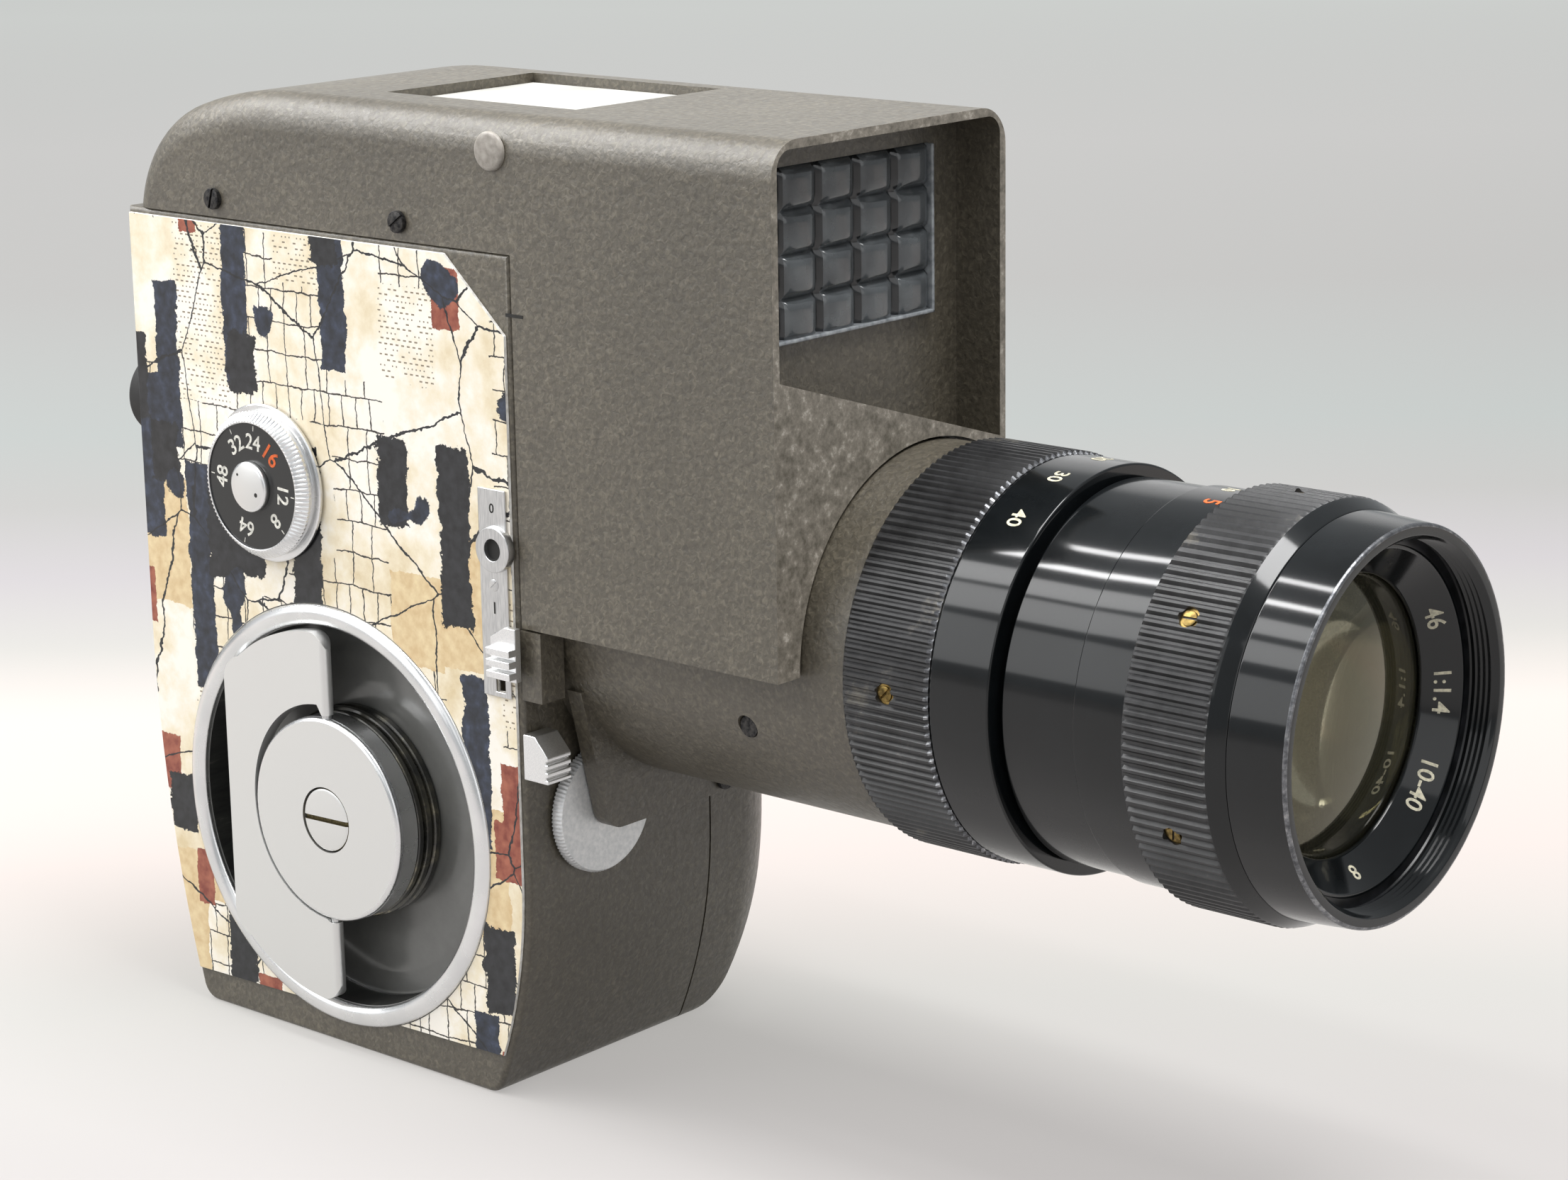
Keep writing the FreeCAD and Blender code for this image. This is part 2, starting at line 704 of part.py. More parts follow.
def film_door():
    """The deep-drawn door over the film chamber, with its half of the hinge."""
    outer = Piece("door_outer", False)
    outer.pad(body_outline(outer.sketch("YZ", DOOR_NEAR), "0", top="body_top - gap"), "far_side - (%s)" % DOOR_NEAR)
    front, rear = number(front_at("0", "0")), number(rear_at("0", "0"))
    outer.round_edges(lambda edge: along_x(edge, front, 0) or along_x(edge, rear, 0), "foot_round")
    far = number("far_side")
    outer.round_edges(lambda edge: at_x(edge, far), "door_round")
    door_taper(outer, "0")
    inner = Piece("door_inner", False)
    inner.pad(body_outline(inner.sketch("YZ", DOOR_NEAR), "door_wall", top="body_top - gap - door_wall"),
              "far_side - door_wall - (%s)" % DOOR_NEAR)
    back = number("far_side - door_wall")
    inner.round_edges(lambda edge: at_x(edge, back), "door_round - door_wall")
    door_taper(inner, "door_wall")
    hollow = minus("door_hollow", outer.body, inner.body)
    leaves = []
    for tag, low in (("low", "knuckle_low"), ("high", "knuckle_high - 2 * gap - 2 * knuckle_length")):
        start = "%s + knuckle_length + gap" % low
        end = "(%s) + knuckle_length" % start
        web = block("door_web_" + tag, DOOR_NEAR, "%s + knuckle_radius" % HINGE_X, "body_rear - door_wall / 2", HINGE_Y,
                    start, end, False)
        round_part = rod("door_knuckle_" + tag, "z", start, end, "knuckle_radius", (HINGE_X, HINGE_Y))
        leaves.extend([web, round_part])
    leaf = plus("door_leaf", [hollow] + leaves)
    bores = [rod("door_pin_bore", "z", "rear_bend", "body_top", "hinge_pin_radius + slip", (HINGE_X, HINGE_Y)),
             rod("door_latch_bore", "x", "far_side - 3 * door_wall", "far_side + 1", "latch_shaft + slip", ("latch_y", "latch_z"))]
    node("film_door", minus("film_door", leaf, plus("door_bores", bores)))


def winding_side():
    """Skin, bezel and well on the near wall, with the wheel and its folding half-moon key."""
    skin = Piece("side_skin")
    sheet_outline = outline(skin.sketch("YZ", SKIN_FACE), [
        ("-body_front + skin_inset", "body_top - skin_inset - skin_chamfer"),
        ("-body_front + skin_inset", "front_bend", "%s - skin_inset" % FRONT_BOW),
        (front_at("skin_front_low", "skin_inset"), "skin_front_low"),
        (rear_at("skin_rear_low", "skin_inset"), "skin_rear_low", "%s - skin_inset" % REAR_BOW),
        ("body_rear - skin_inset", "rear_bend"),
        ("body_rear - skin_inset", "body_top - skin_inset"),
        ("-body_front + skin_inset + 1.1 * skin_chamfer", "body_top - skin_inset"),
    ])
    skin.pad(sheet_outline, "skin_thick")
    holes = (
        circle(skin.sketch("YZ", SKIN_FACE), "winder_y", "winder_z", "bezel_radius + slip"),
        circle(skin.sketch("YZ", SKIN_FACE), "dial_y", "dial_z", "dial_shaft_radius + slip"),
        rectangle(skin.sketch("YZ", SKIN_FACE), LEVER_Y, SLOT_REAR, SLOT_LOW, SLOT_HIGH),
        circle(skin.sketch("YZ", SKIN_FACE), SOCKET_Y, "socket_z", "socket_bore + 1"),
    )
    for hole in holes:
        skin.cut(hole, "skin_thick", forward=True)
    turned("winding_ring", "x", [
        ("-near_side", "bezel_radius - bezel_width"),
        ("-near_side", "bezel_radius"),
        ("-near_side - 0.6 * bezel_proud", "bezel_radius"),
        ("-near_side - bezel_proud", "bezel_radius - 0.3 * bezel_width"),
        ("-near_side - bezel_proud", "bezel_radius - 0.7 * bezel_width"),
        ("-near_side - 0.6 * bezel_proud", "bezel_radius - bezel_width"),
    ], north="winder_y", up="winder_z")
    turned("winding_well", "x", [
        ("-near_side", "well_radius - sheet_metal"),
        ("%s" % WELL_FLOOR, "well_radius - sheet_metal"),
        ("%s" % WELL_FLOOR, "0.86 * well_radius"),
        ("%s - 0.5" % WELL_FLOOR, "0.84 * well_radius"),
        ("%s - 0.5" % WELL_FLOOR, "0.66 * well_radius"),
        ("%s" % WELL_FLOOR, "0.64 * well_radius"),
        ("%s" % WELL_FLOOR, "arbor_radius + slip"),
        ("%s + sheet_metal" % WELL_FLOOR, "arbor_radius + slip"),
        ("%s + sheet_metal" % WELL_FLOOR, "well_radius"),
        ("-near_side", "well_radius"),
    ], north="winder_y", up="winder_z")
    disc = turned("winding_disc", "x", [
        (DISC_FACE, "winder_screw_radius"),
        (DISC_FACE, "disc_radius - 0.25"),
        ("%s + 0.25" % DISC_FACE, "disc_radius"),
        ("%s + 0.7" % DISC_FACE, "disc_radius"),
        ("%s + 0.7" % DISC_FACE, "disc_radius - 0.4"),
        ("%s + 0.95" % DISC_FACE, "disc_radius - 0.4"),
        ("%s + 0.95" % DISC_FACE, "disc_radius"),
        (DISC_BACK, "disc_radius"),
        (DISC_BACK, "0"),
        ("%s + 1.2" % DISC_FACE, "0"),
        ("%s + 1.2" % DISC_FACE, "winder_screw_radius"),
    ], north="winder_y", up="winder_z")
    for name, tip in (("upper", "disc_radius + 1"), ("lower", "-disc_radius + 3.2")):
        hole = disc.sketch("XY", tip)
        disc.cut(circle(hole, KEY_X, "0", "key_pin_radius"), "4.2")
    turned("winding_collar", "x", [
        (DISC_BACK, "arbor_radius"),
        (DISC_BACK, "collar_radius"),
        ("%s + 1.4" % DISC_BACK, "collar_radius"),
        ("%s + 1.8" % DISC_BACK, "collar_radius - 0.8"),
        ("%s - gap" % WELL_FLOOR, "collar_radius - 0.8"),
        ("%s - gap" % WELL_FLOOR, "arbor_radius"),
    ], north="winder_y", up="winder_z")
    cap = Piece("winding_screw")
    cap.pad(circle(cap.sketch("YZ", DISC_FACE), "0", "0", "winder_screw_radius"), "1.2")
    cap.cut(rectangle(cap.sketch("YZ", DISC_FACE), "-winder_screw_radius - 1", "winder_screw_radius + 1", "-0.5", "0.5"),
            "0.7", forward=True)
    cap.place(north="winder_y", up="winder_z")
    pins = []
    for tag, low in (("low", "winder_z - disc_radius - 2.8"), ("high", "winder_z + disc_radius - 3.2")):
        pins.append(rod("key_pin_" + tag, "z", low, "(%s) + 6" % low, "key_pin_radius", (KEY_X, "winder_y")))
    group("key_pins", pins)
    turned("winding_arbor", "x", [
        (DISC_BACK, "0"),
        ("%s - slip" % PLATE_FAR, "0"),
        ("%s - slip" % PLATE_FAR, "0.4 * arbor_radius"),
        ("-plate_near - gap", "0.4 * arbor_radius"),
        ("-plate_near - gap", "arbor_radius + 1"),
        ("%s + sheet_metal + gap" % WELL_FLOOR, "arbor_radius + 1"),
        ("%s + sheet_metal + gap" % WELL_FLOOR, "arbor_radius"),
        (DISC_BACK, "arbor_radius"),
    ], north="winder_y", up="winder_z")
    key = Piece("winding_key")
    shape = outline(key.sketch("YZ", "%s - key_thick / 2" % KEY_X), [
        ("0", "-" + KEY_EDGE, KEY_EDGE),
        ("key_reach - 3.2", "-" + KEY_CORNER, "4"),
        ("key_reach", "4.2 - " + KEY_CORNER),
        ("key_reach", KEY_CORNER + " - 4.2", "4"),
        ("key_reach - 3.2", KEY_CORNER, KEY_EDGE),
        ("0", KEY_EDGE),
        ("0", "disc_radius + 0.5", "-disc_radius - 0.5"),
        ("disc_radius + 0.5", "0", "-disc_radius - 0.5"),
        ("0", "-disc_radius - 0.5"),
    ])
    key.pad(shape, "key_thick")
    for low in ("disc_radius + 0.5", "-" + KEY_EDGE):
        barrel = circle(key.sketch("XY", low), KEY_X, "0", "key_thick / 2")
        key.pad(barrel, "%s - disc_radius - 0.5" % KEY_EDGE)
    bore = circle(key.sketch("XY", "%s - 9" % KEY_EDGE), KEY_X, "0", "key_pin_radius + slip")
    key.cut(bore, "2 * %s - 18" % KEY_EDGE)
    key.place(north="winder_y", up="winder_z")


def spring_motor():
    """The plate, the barrel with its spring, and the train to the governor."""
    plate = Piece("mechanism_plate")
    plate.pad(body_outline(plate.sketch("YZ", "-plate_near"), "wall + gap"), "plate_thick")
    notch = rectangle(plate.sketch("YZ", "-plate_near"), "-body_front", "-film_plane - 3.1",
                      "lens_height - shutter_radius - 3.5", "lens_height + shutter_radius + 3.5")
    plate.cut(notch, "plate_thick", forward=True)
    for centre, radius in PLATE_BORES:
        plate.cut(circle(plate.sketch("YZ", "-plate_near"), centre[0], centre[1], radius), "plate_thick", forward=True)
    barrel = turned("spring_barrel", "x", [
        (BARREL_FACE, "arbor_radius + 1 + slip"),
        ("%s + barrel_skin" % BARREL_FACE, "arbor_radius + 1 + slip"),
        ("%s + barrel_skin" % BARREL_FACE, "barrel_radius - barrel_skin"),
        ("%s - barrel_skin" % BARREL_BACK, "barrel_radius - barrel_skin"),
        ("%s - barrel_skin" % BARREL_BACK, "arbor_radius + 1 + slip"),
        (BARREL_BACK, "arbor_radius + 1 + slip"),
        (BARREL_BACK, "gear_radius - tooth_depth"),
        ("%s - gear_width" % BARREL_BACK, "gear_radius - tooth_depth"),
        ("%s - gear_width" % BARREL_BACK, "barrel_radius"),
        (BARREL_FACE, "barrel_radius"),
    ], north="winder_y", up="winder_z")
    barrel.teeth("YZ", "%s - gear_width" % BARREL_BACK, "gear_width", "gear_radius - tooth_depth", "gear_radius",
                 "1.6", "barrel_teeth")
    node("mainspring", mainspring())
    drive = turned("drive_gear", "x", [
        (SHAFT_NEAR, "0"),
        ("%s - slip" % PLATE_FAR, "0"),
        ("%s - slip" % PLATE_FAR, "drive_shaft_radius"),
        (BARREL_BACK, "drive_shaft_radius"),
        (BARREL_BACK, "drive_radius - tooth_depth"),
        ("%s - gear_width" % BARREL_BACK, "drive_radius - tooth_depth"),
        ("%s - gear_width" % BARREL_BACK, "2.5 * drive_shaft_radius"),
        (DRIVE_WHEEL_BACK, "2.5 * drive_shaft_radius"),
        (DRIVE_WHEEL_BACK, "1.15 * drive_radius"),
        ("%s - 1.5" % DRIVE_WHEEL_BACK, "1.15 * drive_radius"),
        ("%s - 1.5" % DRIVE_WHEEL_BACK, "drive_shaft_radius"),
        (SHAFT_NEAR, "drive_shaft_radius"),
    ], north=DRIVE_Y, up=DRIVE_Z)
    drive.teeth("YZ", "%s - gear_width" % BARREL_BACK, "gear_width", "drive_radius - tooth_depth", "drive_radius",
                "1.6", "drive_teeth")
    turned("governor", "x", [
        (SHAFT_NEAR, "0"),
        ("%s - slip" % PLATE_FAR, "0"),
        ("%s - slip" % PLATE_FAR, "0.8 * drive_shaft_radius"),
        (DRIVE_WHEEL_BACK, "0.8 * drive_shaft_radius"),
        (DRIVE_WHEEL_BACK, "governor_pinion_radius"),
        ("%s - 1.5" % DRIVE_WHEEL_BACK, "governor_pinion_radius"),
        ("%s - 1.5" % DRIVE_WHEEL_BACK, "0.8 * drive_shaft_radius"),
        ("%s - 2.5" % DRIVE_WHEEL_BACK, "0.8 * drive_shaft_radius"),
        ("%s - 2.5" % DRIVE_WHEEL_BACK, "governor_radius"),
        ("%s - 7.5" % DRIVE_WHEEL_BACK, "governor_radius"),
        ("%s - 7.5" % DRIVE_WHEEL_BACK, "0.8 * drive_shaft_radius"),
        (SHAFT_NEAR, "0.8 * drive_shaft_radius"),
    ], north=GOVERNOR_Y, up=GOVERNOR_Z)


def mainspring():
    """The coiled spring in its barrel, as half circles that grow from the hub to the wall."""
    inner, outer = number("arbor_radius + 2.2"), number("barrel_radius - barrel_skin - slip")
    turns, thick = int(number("spring_turns")), number("spring_thick")
    step = (outer - thick - inner) / (2 * turns)
    edges = []
    for side in (0, thick):
        spot = VECTOR(0, inner + side, 0)
        row = []
        for half in range(2 * turns):
            sign = 1 if half % 2 == 0 else -1
            reach = inner + side + (half + 1) * step
            end = VECTOR(0, -sign * reach, 0)
            bulge = VECTOR(-sign * (spot.Length + reach) / 2, (spot.y + end.y) / 2, 0)
            row.append(Part.Arc(spot, bulge, end).toShape())
            spot = end
        edges.append((row, spot))
    cap = Part.LineSegment(edges[0][1], edges[1][1]).toShape()
    root = Part.LineSegment(VECTOR(0, inner, 0), VECTOR(0, inner + thick, 0)).toShape()
    ring = Part.Wire(Part.__sortEdges__(edges[0][0] + [cap] + edges[1][0] + [root]))
    solid = Part.Face(ring).extrude(VECTOR(0, 0, number("barrel_length - 2 * barrel_skin - 2 * gap")))
    spring = doc.addObject("Part::Feature", "mainspring")
    spring.Shape = solid
    start = number("%s + barrel_skin + gap" % BARREL_FACE)
    spring.Placement = FreeCAD.Placement(VECTOR(start, number("winder_y"), number("winder_z")), TURNS["x"])
    return spring


def dial_and_controls():
    """The frame-rate dial, the run lever, the release key and the aperture wheel."""
    dial = turned("speed_dial", "x", [
        ("%s" % SHAFT_NEAR, "0"),
        ("%s + 3" % SHAFT_NEAR, "0"),
        ("%s + 3" % SHAFT_NEAR, "1.8 * dial_shaft_radius"),
        ("%s + gap" % SHAFT_NEAR, "1.8 * dial_shaft_radius"),
        ("%s + gap" % SHAFT_NEAR, "dial_shaft_radius"),
        ("%s - gap" % SKIN_FACE, "dial_shaft_radius"),
        ("%s - gap" % SKIN_FACE, "dial_flange_radius"),
        ("%s - gap - 0.5" % SKIN_FACE, "dial_flange_radius"),
        ("%s - gap - 0.5" % SKIN_FACE, "dial_radius"),
        (DIAL_FACE, "dial_radius"),
        (DIAL_FACE, "dial_face_radius"),
        ("%s + 0.5" % DIAL_FACE, "dial_face_radius"),
        ("%s + 0.5" % DIAL_FACE, "0"),
    ], north="dial_y", up="dial_z")
    dial.flutes("YZ", "%s - gap - 0.5" % SKIN_FACE, "(%s) - gap - 0.5 - (%s)" % (SKIN_FACE, DIAL_FACE),
                "dial_radius", "0.4", "0.8", "dial_flutes")
    face = Piece("dial_face")
    face.pad(circle(face.sketch("YZ", "%s + 0.2" % DIAL_FACE), "0", "0", "dial_face_radius"), "0.3")
    face.place(north="dial_y", up="dial_z")
    turned("dial_cap", "x", [
        ("%s + 0.2" % DIAL_FACE, "0"),
        ("%s + 0.2" % DIAL_FACE, "dial_cap_radius"),
        ("%s - 0.4" % DIAL_FACE, "dial_cap_radius"),
        ("%s - 0.8" % DIAL_FACE, "dial_cap_radius - 0.5"),
        ("%s - 0.8" % DIAL_FACE, "0"),
    ], north="dial_y", up="dial_z")
    strip = Piece("control_strip")
    strip.pad(rectangle(strip.sketch("YZ", STRIP_FACE), "-body_front + 1.3", STRIP_REAR, "strip_low", "strip_high"), "strip_thick")
    strip.pad(circle(strip.sketch("YZ", "%s - 0.9" % STRIP_FACE), SOCKET_Y, "socket_z", "socket_radius"), "0.9 + strip_thick")
    strip.pad(circle(strip.sketch("YZ", SKIN_FACE), SOCKET_Y, "socket_z", "socket_bore + 0.9"), "skin_thick + wall")
    strip.cut(circle(strip.sketch("YZ", "%s - 0.9" % STRIP_FACE), SOCKET_Y, "socket_z", "socket_bore"), "socket_depth", forward=True)
    strip.cut(rectangle(strip.sketch("YZ", STRIP_FACE), LEVER_Y, SLOT_REAR, SLOT_LOW, SLOT_HIGH), "strip_thick", forward=True)
    lever = Piece("run_lever")
    lever.pad(outline(lever.sketch("YZ", "%s - gap - 1.1" % STRIP_FACE), [
        ("-body_front - 1.2", "lever_low"),
        ("%s + 1.2" % LEVER_Y, "lever_low"),
        ("%s + 1.2" % LEVER_Y, "lever_high - 1.6"),
        ("-body_front + 0.8", "lever_high"),
        ("-body_front - 1.2", "lever_high"),
    ]), "1.1")
    for index in range(3):
        low = "lever_low + 0.5 + %s * 1.6" % index
        rib = rectangle(lever.sketch("YZ", "%s - gap - 2.4" % STRIP_FACE), "-body_front - 1.2", "%s + 0.9" % LEVER_Y,
                        low, "%s + 1" % low)
        lever.pad(rib, "1.4")
    stem = rectangle(lever.sketch("YZ", "%s - gap" % STRIP_FACE), "%s + gap" % LEVER_Y, "%s - gap" % SLOT_REAR,
                     "lever_low + 1", "lever_high - 1.8")
    lever.pad(stem, "wall + 2")
    release = Piece("release_key")
    release.pad(outline(release.sketch("YZ", "-near_side - 0.5"), [
        ("-body_front - gap", "release_low"),
        ("-body_front - gap", "release_high"),
        ("-body_front - 2.4", "release_high"),
        ("-body_front - 4.8", "release_high - 2.6"),
        ("-body_front - 4.8", "release_low"),
    ]), "4.6")
    stem = rectangle(release.sketch("XZ", "body_front + gap"), "%s + gap" % STEM_WEST, "%s - gap" % STEM_EAST,
                     "release_low + 1.5", "release_high - 1.5")
    release.pad(stem, "wall + 3.5", reverse=True)
    for index in range(3):
        groove = rectangle(release.sketch("XZ", "body_front + 4.8"), "-near_side - 1", "-near_side + 4.6",
                           "release_low + 0.6 + %s * 1.1" % index, "release_low + 1 + %s * 1.1" % index)
        release.cut(groove, "0.4")
    wheel = turned("aperture_wheel", "y", [
        ("-body_front + wall + 1", "0"),
        ("-body_front + wall + 1", "wheel_shaft"),
        ("-body_front - gap", "wheel_shaft"),
        ("-body_front - gap", "wheel_radius"),
        ("-body_front - gap - wheel_thick", "wheel_radius"),
        ("-body_front - gap - wheel_thick", "0"),
    ], "-wheel_x", "0", WHEEL_Z)
    wheel.flutes("XZ", "body_front + gap + wheel_thick", "wheel_thick", "wheel_radius", "0.5", "0.8", "wheel_teeth")


def lens():
    """The fixed lens base, the barrel on it, and the zoom, focus and iris parts that turn or slide."""
    base = Piece("lens_base")
    base.pad(circle(base.sketch("XZ", "body_front"), "0", "lens_height", "base_radius"), "base_length")
    flange = outline(base.sketch("XZ", FLANGE_BACK), [
        ("-flange_foot", FLANGE_LOW),
        ("flange_foot", FLANGE_LOW),
        ("flange_left", "lens_height - 9.8"),
        ("-flange_left", "lens_height - 9.8"),
    ])
    base.pad(flange, "flange_thick")
    half, low = number("flange_foot"), number(FLANGE_LOW)
    base.round_edges(lambda edge: along_y(edge, half, low) or along_y(edge, -half, low), "3")
    wheel = circle(base.sketch("XZ", "body_front"), "-wheel_x", WHEEL_Z, "wheel_radius + gap")
    base.cut(wheel, "%s - body_front" % FLANGE_BACK, forward=True)
    relief = rectangle(base.sketch("XZ", "body_front"), "seam", "base_radius + 1", FLANGE_LOW, "lens_height + base_radius + 1")
    base.cut(relief, "gap", forward=True)
    bore = circle(base.sketch("XZ", "body_front + base_length"), "0", "lens_height", "base_bore")
    base.cut(bore, "base_length - base_back")
    base.cut(circle(base.sketch("XZ", "body_front + base_back"), "0", "lens_height", "light_radius"), "base_back")
    heads = [screw("foot_screw", "y", FLANGE_FACE, 1, "screw_radius", "1.6", FOOT_SCREW)]
    foot = circle(base.sketch("XZ", "-(%s)" % FLANGE_FACE), FOOT_SCREW[0], FOOT_SCREW[1], SHANK % "screw_radius")
    base.cut(foot, "1.6")
    for tag, sign in (("near", "-"), ("far", "")):
        side = 1 if sign else -1
        seat = "%s(%s)" % (sign, FLANK_X)
        heads.append(screw(tag + "_flank_screw", "x", seat, side, "screw_radius", "3", FLANK_SCREW))
        sink = circle(base.sketch("YZ", "%s(base_radius + 1)" % sign), FLANK_SCREW[0], FLANK_SCREW[1], "screw_radius + slip")
        base.cut(sink, "base_radius + 1 - (%s)" % FLANK_X, forward=side > 0)
        hole = circle(base.sketch("YZ", seat), FLANK_SCREW[0], FLANK_SCREW[1], SHANK % "screw_radius")
        base.cut(hole, "3", forward=side > 0)
    group("lens_base_screws", heads)
    turned("lens_barrel", "y", [
        (BASE_END, "barrel_bore"),
        (BASE_END, "barrel_core"),
        (MID_START, "barrel_core"),
        (MID_START, "mid_radius"),
        (INDEX_START, "mid_radius"),
        (INDEX_START, "index_radius"),
        (INDEX_END, "index_radius"),
        (INDEX_END, "helicoid_radius"),
        (TUBE_END, "helicoid_radius"),
        (TUBE_END, "barrel_bore"),
    ], up="lens_height")
    zoom = turned("zoom_ring", "y", tube(ZOOM_START, ZOOM_END, "barrel_core + slip", "zoom_radius"), up="lens_height")
    zoom.flutes("XZ", "-(%s) - 0.6" % ZOOM_END, "zoom_length - 1.2", "zoom_radius", "rib_depth", "1.1", "zoom_ribs")
    turned("zoom_scale_ring", "y", tube(ZOOM_END, SCALE_END, "barrel_core + slip", "scale_radius"), up="lens_height")
    focus = turned("focus_ring", "y", [
        (FOCUS_START, "helicoid_radius + slip"),
        (FOCUS_START, "focus_radius"),
        (FOCUS_END, "focus_radius"),
        (FRONT_START, "front_radius"),
        (FRONT_START, "helicoid_radius + slip"),
    ], up="lens_height")
    focus.flutes("XZ", "-(%s) - 0.6" % FOCUS_END, "focus_length - 1.2", "focus_radius", "rib_depth", "1.3", "focus_ribs")
    for name, ring, middle, radius, count, turn in (
            ("zoom_screws", zoom, "(%s) + zoom_length / 2" % ZOOM_END, "zoom_radius", "3", "0"),
            ("focus_screws", focus, "(%s) + focus_length / 2" % FOCUS_END, "focus_radius", "6", "focus_screw_turn")):
        hole = ring.sketch("YZ", "-%s - 1" % radius)
        ring.repeat(ring.cut(circle(hole, middle, "0", "0.8 * screw_radius"), "3", forward=True), "Y", count)
        heads = Piece(name)
        head = circle(heads.sketch("YZ", "-%s + rib_depth" % radius), middle, "0", "0.8 * screw_radius")
        heads.repeat(heads.pad(head, "2 - rib_depth"), "Y", count)
        heads.place(up="lens_height")
        for piece in (ring, heads):
            piece.body.Placement.Rotation = FreeCAD.Rotation(VECTOR(0, 1, 0), number(turn))
    turned("front_ring", "y", [
        (LENS_END, "filter_radius"),
        (LENS_END, "rim_radius"),
        (FRONT_START, "front_radius"),
        (FRONT_START, "helicoid_radius"),
        ("%s - gap" % TUBE_END, "helicoid_radius"),
        ("%s - gap" % TUBE_END, "barrel_bore - slip"),
        (SLEEVE_END, "barrel_bore - slip"),
        (SLEEVE_END, "front_glass_radius"),
        (NAME_SEAT, "front_glass_radius"),
        (NAME_SEAT, "name_outer"),
        (FILTER_SEAT, "name_outer"),
        (FILTER_SEAT, "filter_radius"),
    ], up="lens_height")
    turned("name_ring", "y", [
        (FILTER_SEAT, "name_outer"),
        (FILTER_SEAT, "name_outer - 0.6"),
        ("%s - 1.3" % NAME_SEAT, "name_inner"),
        ("%s - 0.8" % NAME_SEAT, "name_inner"),
        (NAME_SEAT, "front_glass_radius"),
        (NAME_SEAT, "name_outer"),
    ], up="lens_height")
    turned("front_element", "y", [
        ("%s - front_glass_bulge" % NAME_SEAT, "0", GLASS_BOW),
        (NAME_SEAT, "front_glass_radius"),
        ("%s + front_glass_thick" % NAME_SEAT, "front_glass_radius"),
        ("%s + front_glass_thick" % NAME_SEAT, "0"),
    ], up="lens_height")
    turned("variator", "y", [
        (VARIATOR_Y, "variator_radius"),
        (VARIATOR_Y, "barrel_bore - slip"),
        ("%s - 10" % VARIATOR_Y, "barrel_bore - slip"),
        ("%s - 10" % VARIATOR_Y, "variator_radius"),
        ("%s - 7" % VARIATOR_Y, "variator_radius"),
        ("%s - 6" % VARIATOR_Y, "0"),
        ("%s - 4" % VARIATOR_Y, "0"),
        ("%s - 3" % VARIATOR_Y, "variator_radius"),
    ], up="lens_height")
    turned("iris_ring", "y", tube(IRIS_Y, "%s - 4" % IRIS_Y, "0.75 * light_radius", "base_bore - slip"), up="lens_height")
    turned("rear_lens_group", "y", [
        ("-body_front - base_back", "0"),
        ("-body_front - base_back", "base_bore"),
        ("-body_front - base_back - 5", "base_bore"),
        ("-body_front - base_back - 5", "8"),
        ("-body_front - base_back - 3.4", "7.6"),
        ("-body_front - base_back - 2.8", "0"),
    ], up="lens_height")
    block("reflex_prism", "-8.5", "8.5", "-body_front - base_back - 17", "-body_front - base_back - 5",
          "lens_height - 8.5", "lens_height + 8.5")


